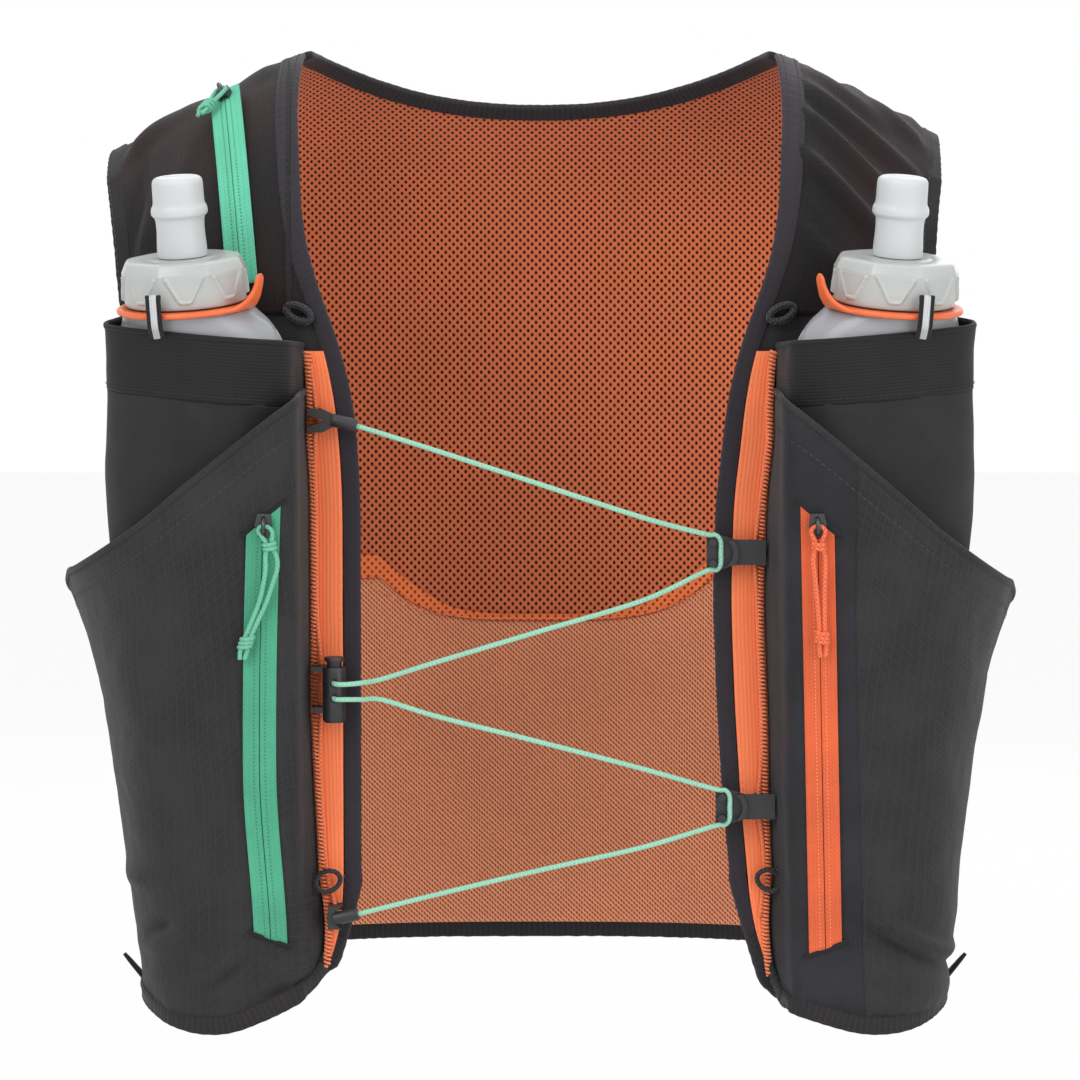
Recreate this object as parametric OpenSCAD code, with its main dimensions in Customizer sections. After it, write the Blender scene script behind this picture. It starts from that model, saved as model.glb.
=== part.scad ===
// Running hydration vest with two soft flasks, in the shape it has when worn.
// Units are millimetres. +Z is up, the front faces -Y and the origin is in the middle of the torso.

/* [Torso surface] */
// Half width of the surface over the shoulders
shoulder_reach = 194; // [193:0.5:195]
// Half width at the bottom of the armholes
chest_reach = 174; // [173:0.5:175]
// Half width at the hem
hem_reach = 150; // [149:0.5:151]
// Depth from the torso axis to the chest
front_depth = 110; // [109:0.5:110.5]
// Depth from the torso axis to the back
back_depth = 104; // [102:0.5:106]
// Height at which the shoulders start to curve over
shoulder_z = 98; // [97:0.5:99]
// Squareness of the torso section
torso_power = 2.6; // [2.5:0.05:2.7]

/* [Fabric] */
// Thickness of a fabric layer
fabric = 1.2; // [0.8:0.1:1.3]
// Clear space between layers
layer_gap = 0.6; // [0.4:0.1:0.8]
// Width of the edge and armhole bindings
binding_w = 6.5; // [6:0.25:6.75]
// Thickness of the bindings
binding_t = 2.4; // [2:0.2:2.6]
// Lowest point of the back neck line
neck_z = 178; // [176:1:180]
// Height of the back hem
back_hem_z = -179; // [-182:1:-176]

/* [Pockets] */
// Fullness of the back storage pocket
storage_depth = 16; // [10:1:20]
// Height of the elastic band of a flask pocket
band_h = 25; // [20:1:28]
// Width of an elastic front strip
strip_w = 11.5; // [10:0.5:11.5]

/* [Flasks] */
// Half width of a flask
flask_hw = 34.5; // [33:0.5:34.5]
// Half thickness of a flask
flask_ht = 19; // [18:0.5:19]
// Wall of a flask
flask_wall = 1.2; // [1:0.1:1.5]
// Outer radius of the flask neck
neck_r = 19.5; // [18:0.5:19.5]
// Radius of the screw cap
cap_r = 26; // [25:0.5:26.5]
// Height of the screw cap
cap_h = 18; // [17:0.5:19]
// Lean of a flask to its side, in degrees
flask_side_lean = 3.5; // [3:0.25:4]
// Lean of a flask to the front, in degrees
flask_front_lean = 6; // [5.5:0.25:6.25]
// Turn of a flask round the chest, in degrees
flask_turn = 15; // [14:1:16]
// Facets round the screw cap
cap_facets = 10; // [8:1:12]

/* [Zips] */
// Width of a zip tape
tape_w = 13; // [12:0.5:14]
// Width of the closed coil
coil_w = 2.2; // [1.8:0.2:2.4]
// Diameter of a pull cord
pull_d = 1.8; // [1.6:0.1:1.9]

/* [Chest closure] */
// Diameter of the elastic chest cord
chest_cord_d = 2.4; // [2:0.1:2.5]
// Diameter of the rail cords
rail_d = 2; // [1.8:0.1:2.1]
// Radius of the cord lock barrel
lock_r = 4.6; // [4.5:0.1:4.8]
// Travel of the cord lock plunger
lock_travel = 2; // [1.5:0.25:2]

/* [Hidden] */
SIDES = ["left", "right"];
// Pieces that the vest has on its left and on its right
PAIRS = ["yoke", "front_panel", "side_wing", "flask_pocket", "flask_pocket_band", "lower_pocket",
         "edge_binding", "armhole_binding", "elastic_strip", "rail_cord", "flask_keeper", "tube_loop",
         "cord_loop", "side_tab", "flask_body", "flask_ring", "cap_seal", "flask_cap", "bite_valve",
         "pocket_zip", "pocket_zip_slider", "pocket_zip_pull", "top_hook", "bottom_hook"];
$fn = 48;

// Colours of the fabric and the trims
black = [0.16, 0.16, 0.17];
navy = [0.2, 0.2, 0.25];
orange = [0.9, 0.4, 0.22];
salmon = [0.79, 0.54, 0.42];
teal = [0.3, 0.75, 0.58];
mint = [0.56, 0.85, 0.72];
grey = [0.35, 0.36, 0.38];
clear_grey = [0.82, 0.83, 0.84];

// Front opening edges, as [z, distance from the middle]
upper_edge = [[45, 72], [65, 74], [84, 78], [104, 84.5], [123, 91], [143, 94], [183, 97], [205, 96]];
left_edge = concat([[-165, 80], [-150, 73], [-130, 71], [25, 71]], upper_edge);
right_edge = concat([[-165, 87], [-150, 81], [-132, 77.5], [-93, 72.5], [-53, 70], [-14, 68.5], [25, 69.5]],
                    upper_edge);
// Front hem, as [distance from the middle, z]
front_hem = [[74, -152], [87, -167], [110, -182], [130, -187], [148, -184], [160, -177]];
// How far the right hem's inner curve is shifted out from the left one
right_hem_shift = [[90, 8], [140, 6]];
// Armhole edges, as [z, distance from the middle]
left_armhole = [[-20, 164], [0, 164], [20, 162], [50, 163], [98, 167], [130, 171], [150, 175], [160, 176]];
right_armhole = [[-20, 164], [0, 164], [20, 161], [50, 158], [98, 156], [130, 158], [150, 161], [160, 163]];
function armhole_x(side, z) = lookup(z, side == "left" ? left_armhole : right_armhole);
// Share of the half width at which the front and back panels meet the side wings
wing_share = 0.9;
// Layers in front of the torso: outer face of the panel, then the face of the strip
panel_face = fabric;
strip_face = panel_face + layer_gap + fabric;

function sign_power(v, p) = sign(v) * pow(abs(v), p);
function unit(v) = v / norm(v);
function mix(a, b, t) = a + (b - a) * t;
function half_width(z) =
    lookup(z, [[-190, hem_reach], [-60, mix(hem_reach, chest_reach, 0.75)], [0, chest_reach],
               [shoulder_z, shoulder_reach]]);
function section_share(x, reach) = pow(1 - pow(min(abs(x) / reach, 1), torso_power), 1 / torso_power);
function shoulder_r(x) = front_depth * section_share(x, shoulder_reach);
// Height of the shoulder line, which falls straight from the neck points to the armholes
neck_x = 97;
shoulder_fall = 0.525;
function crest_h(x) = min(shoulder_r(x), shoulder_r(neck_x) - shoulder_fall * (abs(x) - neck_x));
function shoulder_y(x, z) = shoulder_r(x) * sqrt(max(0, 1 - pow((z - shoulder_z) / crest_h(x), 2)));
function front_y(x, z) =
    z > shoulder_z ? -shoulder_y(x, z) : -front_depth * section_share(x, half_width(z));
function back_y(x, z) =
    z > shoulder_z ? shoulder_y(x, z) * back_depth / front_depth
                   : back_depth * section_share(x, half_width(z));
function round_torso(angle, z, out = 0) =
    let (depth = angle < 0 ? front_depth : back_depth)
    [(half_width(z) + out) * sign_power(cos(angle), 2 / torso_power),
     (depth + out) * sign_power(sin(angle), 2 / torso_power), z];
// Outward direction of the torso surface near a point
function torso_normal(p) =
    let (reach = half_width(p[2]),
         depth = p[1] < 0 ? front_depth : back_depth,
         nx = sign_power(p[0] / reach, torso_power - 1) / reach,
         ny = sign_power(p[1] / depth, torso_power - 1) / depth)
    p[2] < shoulder_z ? unit([nx, ny, 0])
                      : unit([sign(p[0]) * min(0.35, pow(abs(p[0]) / 110, 2)), p[1] / 100,
                              (p[2] - shoulder_z) / 100]);
function edge_x(side, z) = lookup(z, side == "left" ? left_edge : right_edge);
function hem_z(side, x) = lookup(side == "left" ? x : x - lookup(x, right_hem_shift), front_hem);
// Height that a band measured square to the hem takes up at a place on it
function hem_rise(side, x, w) = w * norm([1, (hem_z(side, x + 4) - hem_z(side, x - 4)) / 8]);
function front_point(x, z) = [x, front_y(x, z), z];
function back_point(x, z) = [x, back_y(x, z), z];
function lifted(p, out) = p + torso_normal(p) * out;

// Rows of points with a normal at each, for fabric sheets
function grid_normal(g, i, j) =
    let (last_i = len(g) - 1, last_j = len(g[0]) - 1)
    unit(cross(g[min(i + 1, last_i)][j] - g[max(i - 1, 0)][j],
               g[i][min(j + 1, last_j)] - g[i][max(j - 1, 0)]));
function offset_grid(g, out) =
    [for (i = [0:len(g) - 1]) [for (j = [0:len(g[0]) - 1]) g[i][j] + out * grid_normal(g, i, j)]];

// Closed sheet between two distances from a grid of points, rows first.
// The outer face is on the side of row direction cross column direction.
module sheet(g, inner, outer) {
    rows = len(g);
    cols = len(g[0]);
    size = rows * cols;
    points = concat([for (r = offset_grid(g, outer)) each r], [for (r = offset_grid(g, inner)) each r]);
    cells = [for (i = [0:rows - 2]) for (j = [0:cols - 2]) i * cols + j];
    rim = concat([for (j = [0:cols - 2]) [j, j + 1]],
                 [for (i = [0:rows - 2]) [i * cols + cols - 1, (i + 1) * cols + cols - 1]],
                 [for (j = [cols - 1:-1:1]) [(rows - 1) * cols + j, (rows - 1) * cols + j - 1]],
                 [for (i = [rows - 1:-1:1]) [i * cols, (i - 1) * cols]]);
    faces = concat(
        [for (c = cells) each [[c, c + 1, c + cols + 1], [c, c + cols + 1, c + cols]]],
        [for (c = cells) each [[size + c, size + c + cols + 1, size + c + 1],
                               [size + c, size + c + cols, size + c + cols + 1]]],
        [for (e = rim) each [[e[0], size + e[0], e[1]], [e[1], size + e[0], size + e[1]]]]);
    polyhedron(points, faces);
}

// Solid swept along a path. Each path point has a reference direction, which is the section's second axis.
module sweep(path, refs, section, closed = false) {
    count = len(path);
    sides = len(section);
    tangent = [for (i = [0:count - 1]) unit(closed ? path[(i + 1) % count] - path[(i + count - 1) % count]
                                                   : path[min(i + 1, count - 1)] - path[max(i - 1, 0)])];
    across = [for (i = [0:count - 1]) unit(cross(tangent[i], refs[i]))];
    points = [for (i = [0:count - 1]) let (up = cross(across[i], tangent[i]))
              for (s = section) path[i] + s[0] * across[i] + s[1] * up];
    spans = closed ? count : count - 1;
    walls = [for (i = [0:spans - 1]) for (k = [0:sides - 1])
             let (a = i * sides + k, b = i * sides + (k + 1) % sides,
                  c = ((i + 1) % count) * sides + k, d = ((i + 1) % count) * sides + (k + 1) % sides)
             each [[a, b, d], [a, d, c]]];
    caps = closed ? [] : [[for (k = [sides - 1:-1:0]) k],
                          [for (k = [0:sides - 1]) (count - 1) * sides + k]];
    polyhedron(points, concat(walls, caps));
}
function ring_section(r, sides = 8) =
    [for (k = [0:sides - 1]) r * [cos(360 * k / sides), sin(360 * k / sides)]];
function flat_section(w, t) = [[w / 2, t / 2], [-w / 2, t / 2], [-w / 2, -t / 2], [w / 2, -t / 2]];
module ribbon(path, w, t, closed = false) {
    sweep(path, [for (p = path) torso_normal(p)], flat_section(w, t), closed);
}
// Round cord. Its reference direction starts along Y and is carried along the route without twisting.
module cord(path, d) {
    last = len(path) - 1;
    tangent = [for (i = [0:last]) unit(path[min(i + 1, last)] - path[max(i - 1, 0)])];
    refs = [for (i = 0, ref = [0, 1, 0]; i <= last;
                 i = i + 1, ref = unit(ref - (ref * tangent[min(i, last)]) * tangent[min(i, last)])) ref];
    sweep(path, refs, ring_section(d / 2));
}
module on_side(side) {
    if (side == "left") {
        mirror([1, 0, 0]) children();
    } else {
        children();
    }
}

// Back panels and their outer storage pocket
// Height at which the tops of the back columns are spread
crest_z = 160;
half_columns = [0.09, 0.18, 0.27, 0.36, 0.43, 0.5, 0.55, 0.6, 0.66, 0.78, 0.9, 1];
back_columns = concat([for (i = [len(half_columns) - 1:-1:0]) -half_columns[i]], [0], half_columns);
function panel_reach(side, z) =
    z > 0 ? armhole_x(side, z) - binding_w - layer_gap : wing_share * half_width(z) - layer_gap;
function back_x(f, z) = f * panel_reach(f < 0 ? "left" : "right", z);
function neck_line(x) = neck_z + 21 * pow(abs(x) / 96, 2.2);
neck_binding_w = binding_w - 1;
neck_rise = 1;
function back_top(x) =
    let (line = neck_line(x) + neck_rise,
         fall = (neck_binding_w / 2 + 1.6 * layer_gap) * (1 + 1.7 * pow(x / 96, 2)))
    abs(x) < neck_x ? line - fall * shoulder_y(x, line) / shoulder_r(x)
                    : shoulder_z + 0.992 * crest_h(x) - layer_gap;
function mesh_seam(x) = -44 + 20 * min(1, pow(x / 77, 2));
function back_sheet(top, bottom, rows, ease, out) =
    [for (i = [0:rows]) [for (f = back_columns)
        let (t = pow(i / rows, ease), x0 = back_x(f, crest_z),
             z = mix(top == "neck" ? back_top(x0) : mesh_seam(x0) - layer_gap,
                     bottom == "hem" ? back_hem_z + binding_w / 2 + layer_gap : mesh_seam(x0), t),
             x = back_x(f, z))
        back_point(x, z) + [0, out, 0]]];
module back_mesh_upper() {
    color(orange) sheet(back_sheet("neck", "seam", 12, 1.7, 0), 0, fabric);
}
module back_mesh_lower() {
    color(salmon) sheet(back_sheet("seam", "hem", 6, 1, 0), 0, fabric);
}
module back_storage_panel() {
    top = 60;
    bottom = back_hem_z + 14;
    rows = 10;
    cols = 14;
    color(black) sheet([for (i = [0:rows]) [for (j = [0:cols])
        let (f = 2 * j / cols - 1, w = i / rows, z = mix(top, bottom, w),
             x = f * (panel_reach("right", z) - 14),
             bulge = storage_depth * pow(1 - f * f, 0.6) * pow(sin(180 * mix(0.08, 1, w)), 0.6))
        back_point(x, z) + [0, fabric + 3 * layer_gap + bulge, 0]]], 0, fabric);
}
module neck_binding() {
    route = [for (x = [-88:11:88]) lifted(back_point(x, neck_line(x) + neck_rise), fabric / 2)];
    color(black) ribbon(route, neck_binding_w, binding_t);
}
module back_hem_binding() {
    first = -26;
    route = [for (a = [first:8:180 - first]) round_torso(a, back_hem_z, fabric / 2)];
    color(black) ribbon(route, binding_w, binding_t);
}

// Shoulders, fronts and sides
function front_inner(side, z) = edge_x(side, z) + binding_w + layer_gap + lookup(z, [[-150, 4], [-125, 0]]);
module yoke(side) {
    rows = 12;
    on_side(side) color(black) sheet([for (i = [0:rows]) [for (f = [0:0.125:1])
        let (a = mix(94, 0, i / rows), z0 = shoulder_z + 0.3 + 96 * sin(a),
             z1 = shoulder_z + 0.3 + crest_h(panel_reach(side, crest_z)) * sin(a),
             x = mix(front_inner(side, z0), panel_reach(side, z1) - layer_gap / 2, f))
        [x, -shoulder_r(x) * cos(a), shoulder_z + 0.3 + crest_h(x) * sin(a)]]], 0, fabric);
}
module front_panel(side) {
    rows = 12;
    top = shoulder_z - layer_gap;
    low = -146;
    on_side(side) color(black) sheet([for (i = [0:rows]) [for (f = [0:0.125:1])
        let (t = i / rows, z0 = mix(top, low, t), x0 = mix(front_inner(side, z0), panel_reach(side, z0), f),
             z = z0 + (hem_z(side, x0) + hem_rise(side, x0, binding_w + 1.5 * layer_gap) - low) * pow(t, 3),
             x = z > 0 ? x0 : min(x0, wing_share * half_width(z) - layer_gap))
        front_point(x, z)]], 0, fabric);
}
module side_wing(side) {
    edge_angle = acos(pow(wing_share, torso_power / 2)) - 0.4;
    on_side(side) color(black) sheet([for (i = [0:7]) [for (j = [0:8])
        let (a = mix(-edge_angle, edge_angle, j / 8),
             z = mix(-16, back_hem_z + binding_w / 2 + layer_gap, i / 7))
        round_torso(a, z)]], 0, fabric);
}
module armhole_binding(side) {
    front = [for (z = [152, 130, 105, 80, 55, 30, 10])
             front_point(armhole_x(side, z) - binding_w / 2, z)];
    under = [for (a = [-24:12:24]) round_torso(a, -10)];
    back = [for (z = [10, 30, 55, 80, 105, 130, 152]) back_point(armhole_x(side, z) - binding_w / 2, z)];
    crest_x = armhole_x(side, crest_z) - binding_w / 2;
    crest = [[crest_x, 0, shoulder_z + crest_h(crest_x)]];
    route = [for (p = concat(front, under, back, crest)) lifted(p, fabric / 2)];
    on_side(side) color(black) ribbon(route, binding_w, binding_t, closed = true);
}
module edge_binding(side) {
    straight = [for (z = [196, 188, 178, 164, 148, 130, 110, 90, 70, 50, 25, 0, -30, -60, -90, -120, -142])
                front_point(edge_x(side, z) + binding_w / 2, z)];
    hem_start = side == "left" ? 81 : 88;
    curved = [for (f = [0:0.125:1]) let (x = mix(hem_start, 138, f))
              front_point(x, hem_z(side, x) + hem_rise(side, x, binding_w / 2))];
    route = [for (p = concat(straight, curved)) lifted(p, fabric / 2)];
    on_side(side) color(navy) ribbon(route, binding_w, binding_t);
}

// Elastic strips with their looped rail cords
strip_top = 84;
strip_end = -150;
// Clear space under the rail cord, which takes the lips of the hooks
rail_lift = 2.2;
function strip_width(z) = lookup(z, [[strip_end, 2], [strip_end + 25, strip_w * 0.7], [-60, strip_w],
                                     [50, strip_w], [strip_top, strip_w * 0.6]]);
function strip_inner(side, z) = edge_x(side, z) + binding_w + layer_gap;
function rail_x(side, z) = strip_inner(side, z) + strip_width(z) - 1.4 * rail_d;
module elastic_strip(side) {
    on_side(side) color(orange) sheet([for (i = [0:16]) [for (f = [0, 0.5, 1])
        let (z = mix(strip_top, strip_end, i / 16))
        front_point(strip_inner(side, z) + f * strip_width(z), z)]], panel_face + layer_gap, strip_face);
}
module rail_cord(side) {
    waves = 24;
    steps = 72;
    route = [for (i = [0:steps])
             let (z = mix(strip_top - 6, strip_end + 10, i / steps),
                  x = rail_x(side, z) + 0.9 * sin(360 * waves * i / steps))
             front_point(x, z) - [0, strip_face + rail_d / 2 + rail_lift, 0]];
    on_side(side) color(orange) cord(route, rail_d);
}

// Flask frame: origin on the flask axis at the bottom of the cap, +Z along the axis
flask_neck = [138, -125, 104];
flask_axis = [sin(flask_side_lean) * cos(flask_front_lean), -sin(flask_front_lean),
              cos(flask_side_lean) * cos(flask_front_lean)];
module in_flask(side) {
    on_side(side) translate(flask_neck) rotate([flask_front_lean, flask_side_lean, 0])
        rotate([0, 0, flask_turn]) children();
}
// Flask sections, as [height on the axis, half width, half thickness]
rim_h = 14;
flask_rings = [[rim_h, neck_r, neck_r], [-5, neck_r, neck_r], [-9, 26, flask_ht], [-15, 32, flask_ht],
               [-26, flask_hw, flask_ht], [-70, flask_hw, flask_ht], [-100, flask_hw - 2, 17],
               [-130, flask_hw - 5, 12], [-155, flask_hw - 8, 6], [-168, flask_hw - 9, 2.6]];
// Sideways set of the flask towards the middle of the chest, below its neck
function flask_shift(height) = lookup(height, [[-26, -1.5], [-5, 0]]);
function flask_ring_points(r, inset) =
    [for (k = [0:27]) let (a = 360 * k / 28, p = r[1] == r[2] ? 1 : 0.86)
     [(r[1] - inset) * sign_power(cos(a), p) + flask_shift(r[0]), (r[2] - inset) * sign_power(sin(a), p),
      r[0]]];
module flask_body(side) {
    outside = [for (r = flask_rings) flask_ring_points(r, 0)];
    last = len(flask_rings) - 1;
    inside = [for (i = [last:-1:0]) let (r = flask_rings[i])
              [for (p = flask_ring_points(r, flask_wall)) p + [0, 0, i == last ? flask_wall : 0]]];
    rings = concat(outside, inside);
    n = 28;
    count = len(rings);
    walls = [for (i = [0:count - 1]) for (k = [0:n - 1])
             let (j = (i + 1) % count, a = i * n + k, b = i * n + (k + 1) % n,
                  c = j * n + k, d = j * n + (k + 1) % n)
             if (i != last) each [[a, b, d], [a, d, c]]];
    floors = [[for (k = [0:n - 1]) last * n + k], [for (k = [n - 1:-1:0]) (last + 1) * n + k]];
    in_flask(side) color(clear_grey) polyhedron([for (r = rings) each r], concat(walls, floors));
}
module flask_ring(side) {
    flange_r = cap_r + 1.2;
    flange_t = 2.6;
    low = -4.2;
    in_flask(side) color(orange) {
        translate([0, 0, low]) rotate_extrude()
            polygon([[neck_r + 0.4, 0], [flange_r - 1, 0], [flange_r, 0.8], [flange_r, flange_t - 0.8],
                     [flange_r - 1, flange_t], [neck_r + 0.4, flange_t]]);
        // Finger tab that curls up beside the cap
        rotate([0, 0, 200]) translate([flange_r - 1.6, 4, low]) rotate([90, 0, 0]) linear_extrude(8)
            polygon([[-1.2, 0.4], [2.4, 0.4], [4.8, 2.6], [6.6, 9.6], [4.8, 10.2], [3.2, 4.4], [1.8, 2.2],
                     [-1.2, 2.2]]);
    }
}
module cap_seal(side) {
    in_flask(side) color(grey) translate([0, 0, rim_h + 0.1]) difference() {
        cylinder(r = neck_r, h = 1.6);
        translate([0, 0, -1]) cylinder(r = neck_r - 5, h = 4);
    }
}
module flask_cap(side) {
    bore_r = neck_r + 0.5;
    shelf_z = rim_h + 1.8;
    in_flask(side) color(clear_grey) difference() {
        union() {
            rotate_extrude() polygon([[0, 0], [cap_r - 2, 0], [cap_r - 1.6, 1.2], [cap_r - 2.4, shelf_z - 2],
                                      [cap_r - 5, shelf_z + 0.4], [cap_r - 9, cap_h], [0, cap_h]]);
            // Raised grip facets, wide at the top and narrow at the bottom
            for (k = [0:cap_facets - 1]) rotate([0, 0, 360 * k / cap_facets]) translate([cap_r - 3.6, 0, 1.6])
                rotate([90, 0, 90]) linear_extrude(2.8)
                    polygon([[-2.4, 0], [2.4, 0], [4.4, 1.6], [7, 10], [-7, 10], [-4.4, 1.6]]);
        }
        translate([0, 0, -1]) cylinder(r = bore_r, h = shelf_z + 1);
        translate([0, 0, -1]) cylinder(r = 4, h = cap_h + 2);
    }
}
module bite_valve(side) {
    in_flask(side) color([0.9, 0.91, 0.92]) translate([0, 0, cap_h + 0.1]) rotate_extrude()
        polygon([[5, 0], [9.6, 0], [9.9, 3], [9.2, 12], [9.6, 15], [11, 16.5], [11, 19], [10, 20.5],
                 [10, 29], [9, 31], [0, 31.4], [0, 29], [7, 28], [7, 3], [5, 2]]);
}

// Flask pocket: a sheet from the inner seam round the flask to the outer seam
pocket_clear = 1.25;
sleeve_rings = [[-80, flask_hw - 12, 1], [-64, flask_hw - 8, 4.5], [-46, flask_hw - 6.5, 9],
                [-22, flask_hw - 4, 13.5], [5, flask_hw - 1, 18], [22, flask_hw, flask_ht],
                [120, flask_hw, flask_ht]];
function ring_hw(z) = lookup(z, [for (r = sleeve_rings) [r[0], r[1]]]) + pocket_clear;
function ring_ht(z) = lookup(z, [for (r = sleeve_rings) [r[0], r[2]]]) + pocket_clear;
function flask_centre(z) = flask_neck + flask_axis * (z - flask_neck[2]) / flask_axis[2];
function around_flask(a, z) =
    flask_centre(z)
    + (ring_hw(z) * sign_power(sin(a), 0.86) + flask_shift((z - flask_neck[2]) / flask_axis[2]))
      * [cos(flask_turn), sin(flask_turn), 0]
    + ring_ht(z) * sign_power(cos(a), 0.86) * [sin(flask_turn), -cos(flask_turn), 0];
function pocket_seam(x, z) = front_point(x, z) - [0, panel_face + 3 * layer_gap, 0];
pocket_cols = 12;
pocket_low = -80;
function pocket_point(side, j, z) =
    let (inner_x = lower_pocket_xy(side, 0, min(z, 60))[0] + 1.2,
         outer_x = min(panel_reach(side, z) - 2, 157),
         flat = pocket_seam(mix(inner_x, outer_x, j / pocket_cols), z))
    z <= pocket_low ? flat
    : j == 0 ? pocket_seam(inner_x, z)
    : j == pocket_cols ? pocket_seam(outer_x, z)
    : around_flask(mix(-98, 98, (j - 1) / (pocket_cols - 2)), z);
function pocket_top(j) = mix(87, 94, j / pocket_cols);
module flask_pocket(side) {
    heights = [0, 0.16, 0.34, 0.5, 0.64, 0.78, 0.9, 1];
    on_side(side) color(black) sheet([for (t = heights) [for (j = [0:pocket_cols])
        pocket_point(side, j, mix(pocket_top(j) - band_h - 0.4, pocket_low, t))]], 0, fabric);
}
module flask_pocket_band(side) {
    on_side(side) color([0.1, 0.1, 0.11]) sheet([for (t = [0, 0.5, 1]) [for (j = [0:pocket_cols])
        pocket_point(side, j, mix(pocket_top(j), pocket_top(j) - band_h, t))]], 0, fabric + 0.3);
}
// Keeper tape: from the top edge of the pocket it passes out below the flask's ring and stands up at the cap.
// Its route is given as [distance in front of the flask axis, height on the axis].
keeper_t = 0.6;
keeper_w = 6.2;
keeper_x = 3.4;
keeper_route = let (root = flask_ht + 1, out = cap_r + 2.6)
    [[root, -10.2], [root + 2.4, -8.6], [out - 0.8, -5.6], [out + 0.4, -3], [out + 0.8, 1], [out + 0.4, 5]];
module flask_keeper(side) {
    in_flask(side) color(grey) translate([keeper_x - keeper_w / 2, 0, 0]) rotate([90, 0, 90])
        linear_extrude(keeper_w) for (i = [1:len(keeper_route) - 1]) hull()
            for (p = [keeper_route[i - 1], keeper_route[i]])
                translate([-p[0], p[1]]) circle(d = keeper_t, $fn = 12);
}

// Lower pocket: straight threads run between a top and a bottom section
pocket_top_z = 50;
pocket_bottom_z = -185;
// Sections as [distance from the middle, y], from the strip round to the side wing
top_section = [[93.6, -108], [94, -136], [97, -149], [116, -149.5], [138, -149], [157, -142], [172, -124],
               [183, -96], [189, -66], [189, -44], [183, -31]];
bottom_section = [[96, -101], [97.5, -111], [100, -118], [119, -118], [131, -117], [142, -112], [150, -102],
                  [156, -86], [158, -66], [157, -48], [154, -40]];
right_shift = [6, 5, 4, 4, 3.4, 3.4, 3.6, 4, 4, 4, 4];
flare_reach = 9;
// Fall of the top edge per millimetre outwards
function top_slope(side) = side == "left" ? 0.79 : 0.84;
function lower_pocket_top(side, j) =
    68 - top_slope(side) * (top_section[min(j, 8)][0] - top_section[0][0]) - 9 * max(0, j - 8);
function lower_pocket_low(side, x) = hem_z(side, x) + 3;
function lower_pocket_xy(side, j, z) =
    let (t = (pocket_top_z - z) / (pocket_top_z - pocket_bottom_z))
    mix(top_section[j], bottom_section[j], t)
    + [side == "right" ? right_shift[j] * (j < 2 ? pow(max(t, 0), 2.5) : t) : 0, 0];
function lower_pocket_point(side, j, t) =
    let (z = mix(lower_pocket_top(side, j), lower_pocket_low(side, bottom_section[j][0]), t),
         xy = lower_pocket_xy(side, j, z),
         flare = flare_reach * max(0, 1 - t / 0.3) * lookup(j, [[5, 0], [7, 0.7], [9, 1], [10, 0.2]]))
    [xy[0] + flare, xy[1], z];
// Underside of the pocket, which runs in to the hem seam. The share is 0 at the pocket and 1 at the seam.
function lower_pocket_under(side, j, share) =
    let (p = lower_pocket_point(side, j, 1),
         torso_share = pow(pow(p[0] / half_width(p[2]), torso_power) + pow(-p[1] / front_depth, torso_power),
                           1 / torso_power),
         seam = [p[0], p[1]] * seam_out / torso_share)
    [mix(p[0], seam[0], share), mix(p[1], seam[1], share), p[2] - 2 * share * (1 - share)];
seam_out = 1.035;
module lower_pocket(side) {
    heights = [0, 0.08, 0.18, 0.3, 0.5, 0.7, 0.86, 1];
    columns = [0:len(top_section) - 1];
    on_side(side) color(black) sheet(concat(
        [for (t = heights) [for (j = columns) lower_pocket_point(side, j, t)]],
        [for (share = [0.5, 1]) [for (j = columns) lower_pocket_under(side, j, share)]]), 0, fabric);
}

// Loops and tabs
module tube_loop(side) {
    on_side(side) color(black) translate([100, front_y(100, 94) - panel_face - 4.4, 94]) rotate([0, -90, 12])
        rotate([0, 0, 180]) rotate_extrude(angle = 180) translate([4.6, 0]) circle(r = 1.5);
}
module cord_loop(side) {
    x = side == "left" ? 84 : 91;
    on_side(side) color(black) translate([x, front_y(x, -126) - strip_face - 6.4, -126]) rotate([90, 0, 0])
        rotate_extrude() translate([4.4, 0]) circle(r = 1);
}
module side_tab(side) {
    on_side(side) color(black) translate([side == "left" ? 162.2 : 166.2, -62, -172]) rotate([0, -50, 0])
        linear_extrude(1.4) polygon([[0, 0], [9, 3], [11, 5], [9, 7], [0, 10]]);
}

// Zips: a tape with a closed coil, a slider astride the coil and a knotted cord pull
tape_t = 0.8;
coil_t = 1.2;
slider_l = 9.5;
slider_w = 7;
slider_t = 2.2;
bail_r = 3.2;
pull_h = tape_t + 0.3 + slider_t + 1.2;
module slider_shape() {
    difference() {
        linear_extrude(slider_t) polygon([[-slider_w / 2, 0], [-slider_w / 2 + 1, slider_l / 2],
            [slider_w / 2 - 1, slider_l / 2], [slider_w / 2, 0], [slider_w / 2 - 1.6, -slider_l / 2],
            [-slider_w / 2 + 1.6, -slider_l / 2]]);
        translate([-coil_w / 2 - 0.3, -slider_l, -1]) cube([coil_w + 0.6, 2 * slider_l, coil_t + 1.3]);
    }
    // Bail that carries the pull
    translate([0, 0, slider_t]) rotate([90, 0, 90]) rotate_extrude(angle = 180) translate([bail_r, 0])
        circle(r = 0.8);
}
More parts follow.
